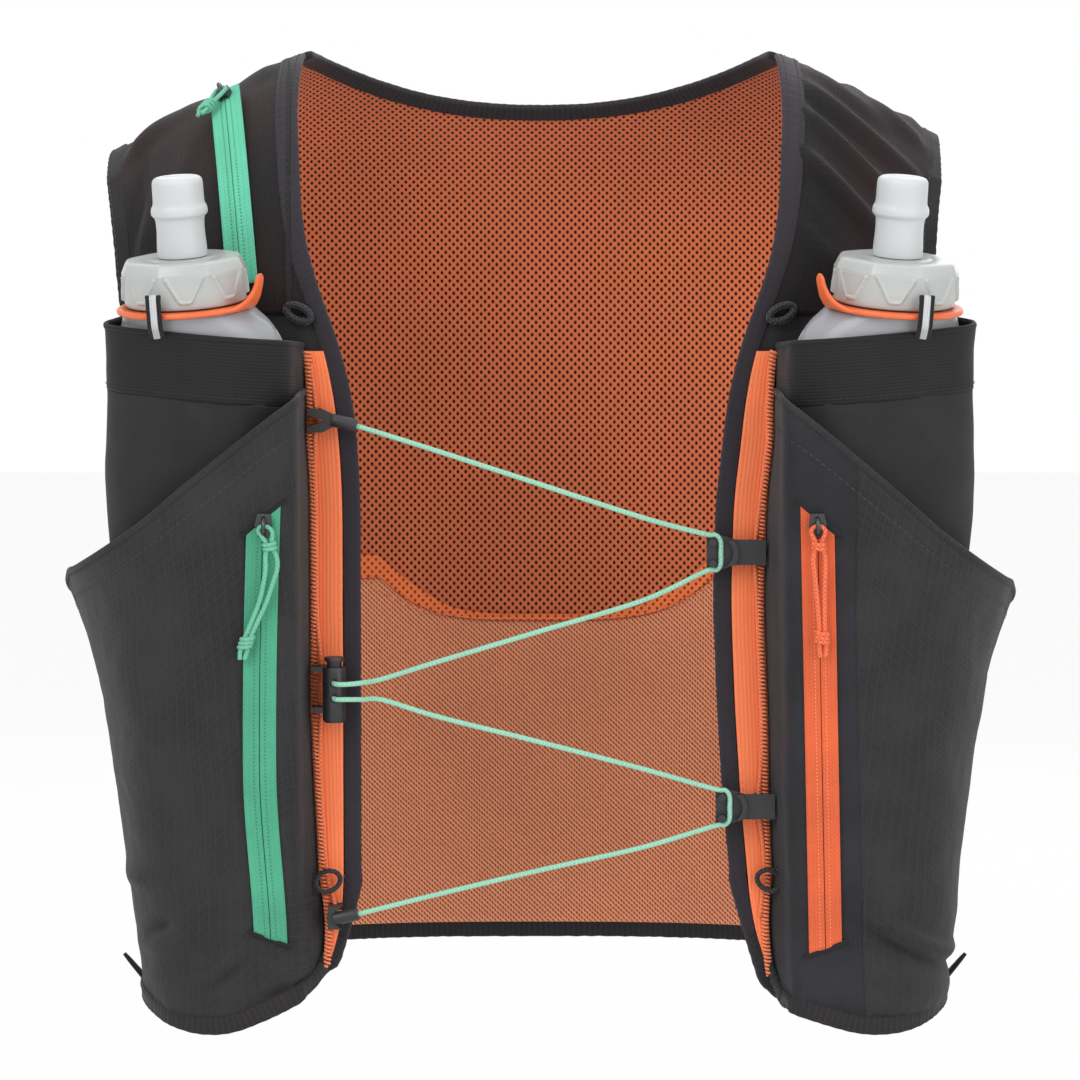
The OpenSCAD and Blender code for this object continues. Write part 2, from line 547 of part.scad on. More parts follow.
// Route of a pull: tail, knot, up one leg, through the bail and back to the second tail
function pull_route(leg, tail, sway) =
    let (side_leg = [[0.9, -leg - tail, 0], [1.3, -leg - 0.5 * tail, 0], [1, -leg, 0], [2.4, -leg * 0.6, 0],
                     [3.4, -leg * 0.3, 0], [3.2, -2.4, 0], [2.2, -0.7, 0], [1, 0, 0]],
         loop = concat(side_leg, [for (i = [len(side_leg) - 1:-1:0]) [-side_leg[i][0], side_leg[i][1], 0]]))
    [for (p = loop) p + [sway * max(0, -p[1] - 2.4), 0, 0]];
module pull_shape(leg, tail, sway = 0) {
    route = pull_route(leg, tail, sway);
    sweep(route, [for (p = route) [0, 0, 1]], ring_section(pull_d / 2));
    translate([sway * (leg - 2.4), -leg, 0]) sphere(r = 2.4, $fn = 24);
}
// Pocket zip frame: origin at the top of the tape, +Y up the tape, +Z out of the pocket
zip_top_z = 27;
zip_low_z = [-149, -153];
function zip_side(side) = side == "left" ? 0 : 1;
function zip_mid(side, z) =
    let (a = lower_pocket_xy(side, 2, z), b = lower_pocket_xy(side, 3, z), p = mix(a, b, 0.5))
    [p[0], p[1] - fabric - 0.5, z];
module in_pocket_zip(side) {
    top = zip_mid(side, zip_top_z);
    low = zip_mid(side, zip_low_z[zip_side(side)]);
    run = low - top;
    on_side(side) translate(top) rotate([90 - atan2(-run[1], -run[2]), 0, 0])
        rotate([0, 0, atan2(run[0], -run[2])]) children();
}
function zip_length(side) = norm(zip_mid(side, zip_top_z) - zip_mid(side, zip_low_z[zip_side(side)]));
slider_drop = 8;
left_pull_sway = 0.15;
module pocket_zip(side) {
    l = zip_length(side);
    in_pocket_zip(side) color(side == "left" ? teal : orange) {
        translate([-tape_w / 2, -l, 0]) cube([tape_w, l, tape_t]);
        translate([-coil_w / 2, -l + 1, tape_t]) cube([coil_w, l - 2, coil_t]);
    }
}
module pocket_zip_slider(side) {
    in_pocket_zip(side) color(grey) translate([0, -slider_drop, tape_t + 0.3]) slider_shape();
}
module pocket_zip_pull(side) {
    in_pocket_zip(side) color(side == "left" ? teal : orange) translate([0, -slider_drop, pull_h])
        pull_shape(side == "left" ? 46 : 44, side == "left" ? 7 : 8, side == "left" ? left_pull_sway : 0);
}

// Shoulder zip: the tape follows an arc over the left shoulder
arc_centre = [123, -4.9, shoulder_z - 3.4];
arc_tilt = 22;
arc_slant = 6;
arc_from = 13;
arc_to = 75;
arc_mid = (arc_from + arc_to) / 2;
shoulder_pull_sway = 0.7;
// Radius of the shoulder under the zip, and of the underside of its tape
arc_body_r = 91.2;
arc_r = arc_body_r + fabric + 2.2;
module in_shoulder_zip() {
    on_side("left") translate(arc_centre) rotate([90, 0, -90])
        rotate(a = -arc_slant, v = [cos(arc_mid), sin(arc_mid), 0]) children();
}
// Turns a flat zip piece onto the arc at an angle
module at_arc(a) {
    rotate([0, 0, a]) translate([arc_r, 0, 0]) rotate([90, 0, 90]) rotate([arc_tilt, 0, 0])
        rotate([0, 0, -90]) children();
}
module shoulder_zip() {
    in_shoulder_zip() color(teal) rotate([0, 0, arc_from])
        rotate_extrude(angle = arc_to - arc_from, $fn = 120) translate([arc_r, 0]) rotate(-arc_tilt) {
            translate([0, -tape_w / 2]) square([tape_t, tape_w]);
            translate([tape_t - 0.01, -coil_w / 2]) square([coil_t, coil_w]);
        }
}
module shoulder_zip_slider() {
    in_shoulder_zip() color(grey) at_arc(arc_to - 6) translate([0, 0, tape_t + 0.5]) slider_shape();
}
module shoulder_zip_pull() {
    in_shoulder_zip() color(teal) at_arc(arc_to - 6) translate([0, 0, pull_h + 0.2])
        pull_shape(12, 5, shoulder_pull_sway);
}

// Chest closure: hooks that clip to the rails, a barrel lock and one elastic cord
cord_y = -115;
lock_x = 81;
lock_y = -116.8;
lock_z = -49;
// Height of the lock's two clip arms above and below its middle
lock_clip = 8;
strand_gap = 6;
lock_rail = rail_at("left", lock_z);
top_post_z = 5;
bottom_post_z = -96;
function post_x(z) = edge_x("right", z) - 1;
post_r = 1.5;
post_gap = 4.2;
// How far the cord reaches in front of and behind the middle of the lock, which it passes through twice
cord_front = 8;
cord_rear = 8;
// Route of the chest cord from the left top hook to the left bottom one, as [x, z] or [x, z, y]
chest_route = let (a = post_x(top_post_z), b = post_x(bottom_post_z), r = post_r + chest_cord_d / 2 + 0.5)
    [[-80, 57], [-72, 55], [-40, 45], [0, 32], [40, 19], [a - 3, top_post_z + post_gap + r],
     [a + 1, top_post_z + post_gap + r - 0.4], [a + r - 0.2, top_post_z + post_gap + 0.6],
     [a + r, top_post_z],
     [a + r - 0.2, top_post_z - post_gap - 0.6], [a + 1, top_post_z - post_gap - r + 0.4],
     [a - 3, top_post_z - post_gap - r], [40, -14], [0, -26], [-40, -38],
     each lock_strand(1), each [for (i = [len(lock_strand(-1)) - 1:-1:0]) lock_strand(-1)[i]],
     [-40, -60], [0, -70], [40, -80.5], [b - 3, bottom_post_z + post_gap + r],
     [b + 1, bottom_post_z + post_gap + r - 0.4], [b + r - 0.2, bottom_post_z + post_gap + 0.6],
     [b + r, bottom_post_z], [b + r - 0.2, bottom_post_z - post_gap - 0.6],
     [b + 1, bottom_post_z - post_gap - r + 0.4], [b - 3, bottom_post_z - post_gap - r], [40, -112],
     [0, -121], [-40, -130.5], [-70, -138], [-77, -139.5]];
// One strand at the lock, from beside it to the turn behind it. The upper strand has s = 1, the lower one -1.
function lock_strand(s) =
    let (z = lock_z + s * strand_gap / 2)
    [[-62, mix(z, lock_z, -0.4), cord_y - 0.6], [-70, z + 0.3 * s, lock_y - cord_front + 3],
     [-75.5, z, lock_y - cord_front + 0.5], [-79, z, lock_y - cord_front + 0.2],
     [-80.6, z, lock_y - cord_front + 1.6], [-lock_x, z, lock_y - cord_front + 3.4], [-lock_x, z, lock_y],
     [-lock_x, z, lock_y + cord_rear - 2.6], [-lock_x, z - 0.6 * s, lock_y + cord_rear - 1],
     [-lock_x, z - 1.8 * s, lock_y + cord_rear]];
module chest_cord() {
    color(mint) cord([for (p = chest_route) [p[0], len(p) > 2 ? p[2] : cord_y, p[1]]], chest_cord_d);
}
// Two lipped prongs that clip over the rail. Their origin is at the rail and they reach forward to a plate.
module rail_prongs(gap, reach) {
    hole = rail_d + 0.8;
    sway_room = rail_d + 2.6;
    for (z = [-gap / 2, gap / 2]) translate([0, 0, z - 1.1]) linear_extrude(2.2) difference() {
        translate([-sway_room / 2 - 0.2, -reach]) square([sway_room + 1.1, reach + hole / 2 + 0.9]);
        translate([-sway_room / 2, -hole / 2]) square([sway_room, hole]);
        translate([-sway_room, -hole / 2 + 0.7]) square([sway_room, hole]);
    }
}
function rail_at(side, z) =
    front_point(rail_x(side, z), z) - [0, strip_face + rail_d / 2 + rail_lift, 0];
prong_gap = 7;
// Anchor hook on the left rail: an eye for the cord end, two arms like a Y and a prong on each arm
module anchor_hook(z, cord_z, turn) {
    rail = rail_at("left", z);
    plate_y = rail[1] - rail_d / 2 - 0.6;
    translate([71, cord_y, cord_z]) rotate([0, turn, 0]) rotate([0, 90, 0]) difference() {
        translate([0, 0, 1]) cylinder(r = 2.6, h = 10);
        translate([0, 0, -1]) cylinder(d = chest_cord_d + 0.5, h = 11.4);
    }
    translate([0, plate_y, z]) rotate([90, 0, 0]) linear_extrude(plate_y - cord_y + 1)
        polygon([[81.2, 2.4], [rail[0] - 2.4, prong_gap / 2 + 1.1], [rail[0] + 3.2, prong_gap / 2 + 1.1],
                 [rail[0] + 3.2, prong_gap / 2 - 1.1], [84.5, 0], [rail[0] + 3.2, 1.1 - prong_gap / 2],
                 [rail[0] + 3.2, -prong_gap / 2 - 1.1], [rail[0] - 2.4, -prong_gap / 2 - 1.1], [81.2, -2.4]]);
    translate(rail) rail_prongs(prong_gap, rail_d / 2 + 0.8);
}
// Release hook on the right rail: a plate with two posts, a curved back and a prong at each corner
module post_hook(z) {
    x = post_x(z);
    rail = rail_at("right", z);
    plate_y = cord_y + chest_cord_d / 2 + 0.5;
    translate([x, plate_y, z]) rotate([90, 0, 0]) {
        translate([0, 0, -1.2]) linear_extrude(1.2) polygon([[-2.4, -6.6], [4, -6.6], [9, -5], [21, -5],
            [21, 5], [9, 5], [4, 6.6], [-2.4, 6.6]]);
        for (s = [-1, 1]) translate([0, s * post_gap, -0.1]) cylinder(r = post_r, h = chest_cord_d + 1.8);
        // Curved back behind the cord
        translate([2, 0, -0.1]) linear_extrude(chest_cord_d + 1.2) intersection() {
            difference() {
                circle(r = 8);
                circle(r = 6);
            }
            translate([3, -5]) square([8, 10]);
        }
    }
    translate(rail) rail_prongs(prong_gap, rail[1] - plate_y - 0.4);
}
module top_hook(side) {
    color(grey) if (side == "left") on_side("left") anchor_hook(57, 54.75, -14.04);
    else post_hook(top_post_z);
}
module bottom_hook(side) {
    color(black) if (side == "left") on_side("left") anchor_hook(-140, -138.2, 12.1);
    else post_hook(bottom_post_z);
}
module cord_lock_barrel() {
    color(black) translate([-lock_x, lock_y, lock_z]) difference() {
        union() {
            translate([0, 0, -12]) cylinder(r = lock_r, h = 21);
            translate([0, 0, -12.8]) cylinder(r = lock_r - 0.6, h = 1);
            // Clip arms to the rail
            translate([lock_x, -lock_y, -lock_z]) on_side("left") {
                translate(lock_rail) rail_prongs(2 * lock_clip, lock_rail[1] - lock_y + 0.5);
                for (s = [-1, 1]) translate([lock_x + 2, lock_y - 1, lock_z + lock_clip * s - 1.1])
                    cube([lock_rail[0] - lock_x, 3, 2.2]);
            }
        }
        translate([0, 0, -10.4]) cylinder(r = 3.3, h = 25);
        for (s = [-1, 1]) translate([0, 10, s * strand_gap / 2]) rotate([90, 0, 0])
            cylinder(d = chest_cord_d + 0.5, h = 20);
    }
}
module cord_lock_plunger() {
    slot_d = chest_cord_d + 0.5;
    color(grey) translate([-lock_x, lock_y, lock_z]) difference() {
        union() {
            translate([0, 0, -5.2]) cylinder(r = 3, h = 15.4 + lock_travel);
            translate([0, 0, 9.4 + lock_travel]) cylinder(r = 3.9, h = 1.6);
        }
        for (s = [-1, 1]) translate([0, 10, s * strand_gap / 2]) rotate([90, 0, 0]) {
            cylinder(d = slot_d, h = 20);
            translate([0, lock_travel, 0]) cylinder(d = slot_d, h = 20);
            translate([-slot_d / 2, 0, 0]) cube([slot_d, lock_travel, 20]);
        }
    }
}
module cord_lock_spring() {
    turns = 4;
    steps = 8;
    low = -9.8;
    high = -5.8;
    route = [for (i = [0:turns * steps]) let (a = 360 * i / steps)
             [2.2 * cos(a), 2.2 * sin(a), mix(low, high, i / (turns * steps))]];
    color("silver") translate([-lock_x, lock_y, lock_z])
        sweep(route, [for (p = route) [0, 0, 1]], ring_section(0.35, 6));
}

// Draws one piece of a pair
module pair_piece(piece, side) {
    if (piece == "yoke") yoke(side);
    if (piece == "front_panel") front_panel(side);
    if (piece == "side_wing") side_wing(side);
    if (piece == "flask_pocket") flask_pocket(side);
    if (piece == "flask_pocket_band") flask_pocket_band(side);
    if (piece == "lower_pocket") lower_pocket(side);
    if (piece == "edge_binding") edge_binding(side);
    if (piece == "armhole_binding") armhole_binding(side);
    if (piece == "elastic_strip") elastic_strip(side);
    if (piece == "rail_cord") rail_cord(side);
    if (piece == "flask_keeper") flask_keeper(side);
    if (piece == "tube_loop") tube_loop(side);
    if (piece == "cord_loop") cord_loop(side);
    if (piece == "side_tab") side_tab(side);
    if (piece == "flask_body") flask_body(side);
    if (piece == "flask_ring") flask_ring(side);
    if (piece == "cap_seal") cap_seal(side);
    if (piece == "flask_cap") flask_cap(side);
    if (piece == "bite_valve") bite_valve(side);
    if (piece == "pocket_zip") pocket_zip(side);
    if (piece == "pocket_zip_slider") pocket_zip_slider(side);
    if (piece == "pocket_zip_pull") pocket_zip_pull(side);
    if (piece == "top_hook") top_hook(side);
    if (piece == "bottom_hook") bottom_hook(side);
}
for (side = SIDES) for (piece = PAIRS)
    pair_piece(piece, side);
back_mesh_upper();
back_mesh_lower();
back_storage_panel();
neck_binding();
back_hem_binding();
shoulder_zip();
shoulder_zip_slider();
shoulder_zip_pull();
cord_lock_barrel();
cord_lock_plunger();
cord_lock_spring();
chest_cord();
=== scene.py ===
"""Running hydration vest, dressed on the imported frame.

Helpers work in millimetres in the frame's axes: the front faces -Y and +Z is up.
Both sides are worked out in +X, and the left one is then mirrored.
"""
import math

import bpy
import numpy as np
from mathutils import Matrix, Vector, noise


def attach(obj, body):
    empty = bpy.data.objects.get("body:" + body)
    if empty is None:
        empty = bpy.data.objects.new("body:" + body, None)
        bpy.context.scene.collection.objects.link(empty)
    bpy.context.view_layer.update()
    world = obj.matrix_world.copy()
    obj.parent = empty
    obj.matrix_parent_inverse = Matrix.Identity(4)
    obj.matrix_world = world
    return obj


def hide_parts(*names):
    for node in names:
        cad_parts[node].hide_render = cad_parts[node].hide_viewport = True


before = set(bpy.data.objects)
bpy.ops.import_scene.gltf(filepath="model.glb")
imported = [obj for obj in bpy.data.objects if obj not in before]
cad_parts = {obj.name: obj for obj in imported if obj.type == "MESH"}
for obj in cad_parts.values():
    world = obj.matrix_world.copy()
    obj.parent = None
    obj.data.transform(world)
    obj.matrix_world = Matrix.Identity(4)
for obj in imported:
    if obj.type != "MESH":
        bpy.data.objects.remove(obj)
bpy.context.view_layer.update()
SIDES = ("left", "right")
MM = 0.001


# Numbers and curves

def mix(a, b, t):
    return a + (b - a) * t


def smooth(t):
    t = np.clip(t, 0.0, 1.0)
    return t * t * (3 - 2 * t)


def spow(v, p):
    return np.sign(v) * np.abs(v) ** p


def table(z, pairs, soft=0.0):
    """Value at z in a table of (place, value) pairs, with its corners rounded over a length of soft."""
    xs, ys = zip(*pairs)
    z = np.asarray(z, float)
    if not soft:
        return np.interp(z, xs, ys)
    steps = (-1, -0.6, -0.2, 0.2, 0.6, 1)
    return sum(np.interp(z + soft * d, xs, ys) for d in steps) / len(steps)


def half_axis(z, rows, which, soft):
    """Half width (1) or half thickness (2) at z, from rows of (z, half width, half thickness)."""
    return table(z, [(r[0], r[which]) for r in rows], soft)


def xyz(x, y, z):
    """Points from three coordinates, each a number or an array."""
    return np.stack(np.broadcast_arrays(x, y, z), -1)


def unit(v):
    v = np.asarray(v, float)
    return v / np.maximum(np.linalg.norm(v, axis=-1, keepdims=True), 1e-9)


def runs(path):
    """Length along a line at each of its points."""
    return np.concatenate([[0], np.cumsum(np.linalg.norm(np.diff(path, axis=0), axis=1))])


def sampled(at, run, rows):
    """Rows of values looked up at places along a run."""
    return np.stack([np.interp(at, run, column) for column in np.asarray(rows, float).T], axis=1)


def even(path, count):
    """The same line with its points evenly spaced."""
    run = runs(path)
    return sampled(np.linspace(0, run[-1], count), run, path)


def curve_through(points, count):
    """Evenly spaced points on a smooth curve through the given ones."""
    p = np.asarray(points, float)
    p = np.vstack([2 * p[0] - p[1], p, 2 * p[-1] - p[-2]])
    t = np.linspace(0, 1, 24, endpoint=False)[:, None]
    out = []
    for a, b, c, d in zip(p, p[1:], p[2:], p[3:]):
        out.append(0.5 * (2 * b + (c - a) * t + (2 * a - 5 * b + 4 * c - d) * t ** 2
                          + (3 * b - a - 3 * c + d) * t ** 3))
    return even(np.vstack(out + [p[-2:-1]]), count)


def length_of(path):
    return float(np.linalg.norm(np.diff(path, axis=0), axis=1).sum())


def flip(points, side):
    return np.asarray(points, float) * ([-1, 1, 1] if side == "left" else [1, 1, 1])


def circle(count):
    return np.linspace(0, math.tau, count, endpoint=False)


# The torso surface, as in the solids

SHOULDER, FRONT, BACK, SHOULDER_Z, POWER = 194, 110, 104, 98, 2.6
NECK_Z, HEM_Z, NECK_X = 178, -179, 97
CREST_FALL = 0.525
SEAM_SHARE = 0.9
ARMHOLE_TOP = 160.0
UPPER = [(45, 72), (65, 74), (84, 78), (104, 84.5), (123, 91), (143, 94), (183, 97), (205, 96)]
EDGE = {"left": [(-165, 80), (-150, 73), (-130, 71), (25, 71)] + UPPER,
        "right": [(-165, 86), (-154, 80.6), (-138, 76.8), (-93, 72.5), (-53, 70), (-14, 68.5),
                  (25, 69.5)] + UPPER}
FRONT_HEM = {"left": [(74, -152), (87, -167), (110, -182), (130, -187), (148, -184), (160, -177)],
             "right": [(82, -157), (86, -164.5), (92, -173.5), (98.5, -178.5), (108, -181.8), (120, -185.2),
                       (132, -186.4), (144, -185.4), (154, -181.8), (166, -175)]}
HEM_SOFT = {"left": 7, "right": 5}
ARMHOLE = {"left": [(-20, 164), (0, 164), (20, 162), (50, 163), (98, 167), (130, 171), (150, 175),
                    (160, 176)],
           "right": [(-20, 164), (0, 164), (20, 161), (50, 158), (98, 156), (130, 158), (150, 161),
                     (160, 163)]}


def half_width(z):
    return table(z, [(-190, 150), (-60, 168), (0, 174), (98, SHOULDER)])


def section_share(x, reach):
    return (1 - np.minimum(np.abs(x) / reach, 1) ** POWER) ** (1 / POWER)


def shoulder_r(x):
    return FRONT * section_share(x, SHOULDER)


def crest_h(x):
    """Height of the shoulder line, which falls straight from the neck points to the armholes."""
    return np.minimum(shoulder_r(x), shoulder_r(NECK_X) - CREST_FALL * (np.abs(x) - NECK_X))


def shoulder_y(x, z):
    rise = (np.asarray(z, float) - SHOULDER_Z) / crest_h(x)
    return shoulder_r(x) * np.sqrt(np.maximum(0, 1 - rise ** 2))


def front_y(x, z):
    low = -FRONT * section_share(x, half_width(z))
    return np.where(np.asarray(z) > SHOULDER_Z, -shoulder_y(x, z), low)


def back_y(x, z):
    low = BACK * section_share(x, half_width(z))
    return np.where(np.asarray(z) > SHOULDER_Z, shoulder_y(x, z) * BACK / FRONT, low)


def round_torso(angle, z, out=0.0):
    a = np.radians(angle)
    depth = np.where(np.asarray(angle) < 0, FRONT, BACK)
    x = (half_width(z) + out) * spow(np.cos(a), 2 / POWER)
    y = (depth + out) * spow(np.sin(a), 2 / POWER)
    return xyz(x, y, z)


def torso_normal(p):
    x, y, z = np.moveaxis(np.asarray(p, float), -1, 0)
    reach = half_width(z)
    depth = np.where(y < 0, FRONT, BACK)
    low = xyz(spow(x / reach, POWER - 1) / reach, spow(y / depth, POWER - 1) / depth, 0)
    lean = np.sign(x) * np.minimum(0.35, (x / 110) ** 2)
    high = xyz(lean, y / 100, (z - SHOULDER_Z) / 100)
    blend = smooth((z[..., None] - SHOULDER_Z + 25) / 50)
    return unit(unit(low) * (1 - blend) + unit(high) * blend)


def edge_x(side, z):
    return table(z, EDGE[side], 9)


def hem_z(side, x):
    return table(x, FRONT_HEM[side], HEM_SOFT[side])


def front_point(x, z):
    return xyz(x, front_y(x, z), z)


def back_point(x, z):
    return xyz(x, back_y(x, z), z)


def lifted(p, out):
    return p + torso_normal(p) * out


# Mesh making. A material is given by its key in MAT.

def make(name, verts, faces, mat, body="vest", uvs=None, node=None):
    """A mesh piece from points in millimetres, riding on a body and standing for its solid."""
    mesh = bpy.data.meshes.new(name)
    mesh.from_pydata((np.asarray(verts, float) * MM).tolist(), [], [list(map(int, f)) for f in faces])
    mesh.materials.append(MAT[mat])
    if uvs is not None:
        layer = mesh.uv_layers.new(name="cloth")
        index = np.empty(len(mesh.loops), int)
        mesh.loops.foreach_get("vertex_index", index)
        uvs = np.asarray(uvs, float)
        flat = uvs[index] if len(uvs) == len(verts) else uvs
        layer.data.foreach_set("uv", flat.reshape(-1))
    mesh.polygons.foreach_set("use_smooth", [True] * len(mesh.polygons))
    mesh.update()
    obj = bpy.data.objects.new(name, mesh)
    bpy.context.scene.collection.objects.link(obj)
    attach(obj, body)
    if node:
        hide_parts(node)
    return obj


def grid_faces(rows, cols, wrap_rows=False, wrap_cols=False):
    faces = []
    for i in range(rows if wrap_rows else rows - 1):
        for j in range(cols if wrap_cols else cols - 1):
            k, m = (i + 1) % rows, (j + 1) % cols
            faces.append((i * cols + j, i * cols + m, k * cols + m, k * cols + j))
    return faces


def grid_normals(g):
    return unit(np.cross(np.gradient(g, axis=0), np.gradient(g, axis=1)))


def grid_runs(g, axis):
    """Length along the columns (axis 0) or the rows (axis 1) of a grid at each of its points."""
    steps = np.linalg.norm(np.diff(g, axis=axis), axis=2)
    return np.cumsum(np.insert(steps, 0, 0.0, axis=axis), axis=axis)


def grid_uv(g):
    """Lengths along the rows, measured from the middle, and down the columns."""
    u = grid_runs(g, 1)
    return np.stack([u - u[:, -1:] / 2, -grid_runs(g, 0)], -1)


def sheet(name, g, mat, node=None, side="right", thick=None, uv=None):
    """Cloth on a grid of points. The outer face is on the side of row direction cross column direction."""
    g = np.asarray(g, float)
    uv = grid_uv(g) if uv is None else uv
    faces = grid_faces(*g.shape[:2])
    if side == "left":
        g = flip(g, side)
    else:
        faces = [f[::-1] for f in faces]
    obj = make(name, g.reshape(-1, 3), faces, mat, "vest", uv.reshape(-1, 2), node)
    solid = obj.modifiers.new("thickness", "SOLIDIFY")
    solid.thickness = (thick or THICK[mat]) * MM
    solid.offset = 1.0
    solid.use_even_offset = False
    return obj


def frames(path, refs):
    """Sideways and upward directions along a line. refs is roughly upward."""
    tangent = unit(np.gradient(path, axis=0))
    across = unit(np.cross(tangent, refs))
    return across, np.cross(across, tangent)


def carried(path, first):
    """Reference directions that follow a line without twisting."""
    refs, ref = [], np.asarray(first, float)
    for t in unit(np.gradient(path, axis=0)):
        ref = unit(ref - (ref @ t) * t)
        refs.append(ref)
    return np.array(refs)


def sweep(name, path, refs, section, mat, body="vest", closed=False, node=None, scale=None):
    """A section swept along a line. refs is the section's second direction, once or at each point."""
    path, refs, section = (np.asarray(a, float) for a in (path, refs, section))
    refs = np.broadcast_to(refs, path.shape)
    if closed:
        wrapped = (np.vstack([a[-2:], a, a[:2]]) for a in (path, refs))
        across, up = (a[2:-2] for a in frames(*wrapped))
    else:
        across, up = frames(path, refs)
    n, k = len(path), len(section)
    size = np.ones((n, 2)) if scale is None else scale
    s = section[None] * size[:, None]
    verts = path[:, None] + s[..., :1] * across[:, None] + s[..., 1:] * up[:, None]
    faces = [f[::-1] for f in grid_faces(n, k, wrap_rows=closed, wrap_cols=True)]
    run = runs(path)
    around = runs(np.vstack([section, section[:1]]))
    uvs = []
    for i in range(n if closed else n - 1):
        far = run[i + 1] if i + 1 < n else run[i] + np.linalg.norm(path[0] - path[-1])
        for a, b in zip(around, around[1:]):
            uvs += [(a, far), (b, far), (b, run[i]), (a, run[i])]
    if not closed:
        faces += [tuple(range(k)), tuple((n - 1) * k + j for j in range(k - 1, -1, -1))]
        uvs += [(0, 0)] * (2 * k)
    return make(name, verts.reshape(-1, 3), faces, mat, body, uvs, node)


def ring(r, sides=10):
    a = circle(sides)
    return np.stack([r * np.cos(a), r * np.sin(a)], 1)


def tape(w, t, corner=8):
    """A flat section with rounded sides."""
    pts = []
    for x, start in ((w / 2 - t / 2, -90), (-(w / 2 - t / 2), 90)):
        for a in np.radians(np.linspace(start, start + 180, corner)):
            pts.append((x + t / 2 * math.cos(a), t / 2 * math.sin(a)))
    return np.array(pts)


def creases(x, z, lines):
    """Height of soft folds. Each line runs from (x0, z0) to (x1, z1) with a width and a height."""
    total = np.zeros_like(np.asarray(x, float))
    for x0, z0, x1, z1, w, h in lines:
        dx, dz = x1 - x0, z1 - z0
        t = np.clip(((x - x0) * dx + (z - z0) * dz) / (dx * dx + dz * dz), 0, 1)
        d = np.hypot(x - x0 - t * dx, z - z0 - t * dz)
        total += h * np.exp(-(d / w) ** 2) * (0.25 + 0.75 * np.sin(math.pi * t))
    return total


def ripple(g, size, seed=0.0):
    """Smooth noise from -1 to 1 at each point of a grid."""
    at = g.reshape(-1, 3) / size + [seed, 0, -seed]
    return np.array([noise.noise(Vector(p)) for p in at]).reshape(g.shape[:2])


def push(g, height):
    return g + grid_normals(g) * np.asarray(height)[..., None]


DASH = [(-0.5, 0, -0.3), (-0.36, -0.5, 0.5), (-0.36, 0.5, 0.5), (0, -0.5, 1), (0, 0.5, 1),
        (0.36, -0.5, 0.5), (0.36, 0.5, 0.5), (0.5, 0, -0.3)]
DASH_FACES = [(0, 1, 2), (1, 3, 4, 2), (3, 5, 6, 4), (5, 7, 6)]


def stitches(name, path, normals, mat, pitch=3.2, long=2.1, wide=0.55, proud=0.25):
    """Thread showing along a seam, as short rounded dashes. normals is given once or at each point."""
    path = np.asarray(path, float)
    run = runs(path)
    count = max(2, int(length_of(path) / pitch))
    at = (np.arange(count) + 0.5) * run[-1] / count
    pos = sampled(at, run, path)
    tan = unit(sampled(at, run, np.gradient(path, axis=0)))
    nor = unit(sampled(at, run, np.broadcast_to(normals, path.shape)))
    side = unit(np.cross(tan, nor))
    verts = [c + t * a * long + s * b * wide + n * h * proud
             for c, t, s, n in zip(pos, tan, side, nor) for a, b, h in DASH]
    faces = [tuple(base + i for i in f) for base in range(0, len(verts), len(DASH)) for f in DASH_FACES]
    make(name, verts, faces, mat)


# Materials

def rgb(code):
    """Linear colour from a hex code."""
    c = np.array([int(code[i:i + 2], 16) / 255 for i in (1, 3, 5)])
    return tuple(np.where(c <= 0.04045, c / 12.92, ((c + 0.055) / 1.055) ** 2.4)) + (1.0,)


def shade(code, factor):
    return tuple(min(1.0, v * factor) for v in rgb(code)[:3]) + (1.0,)


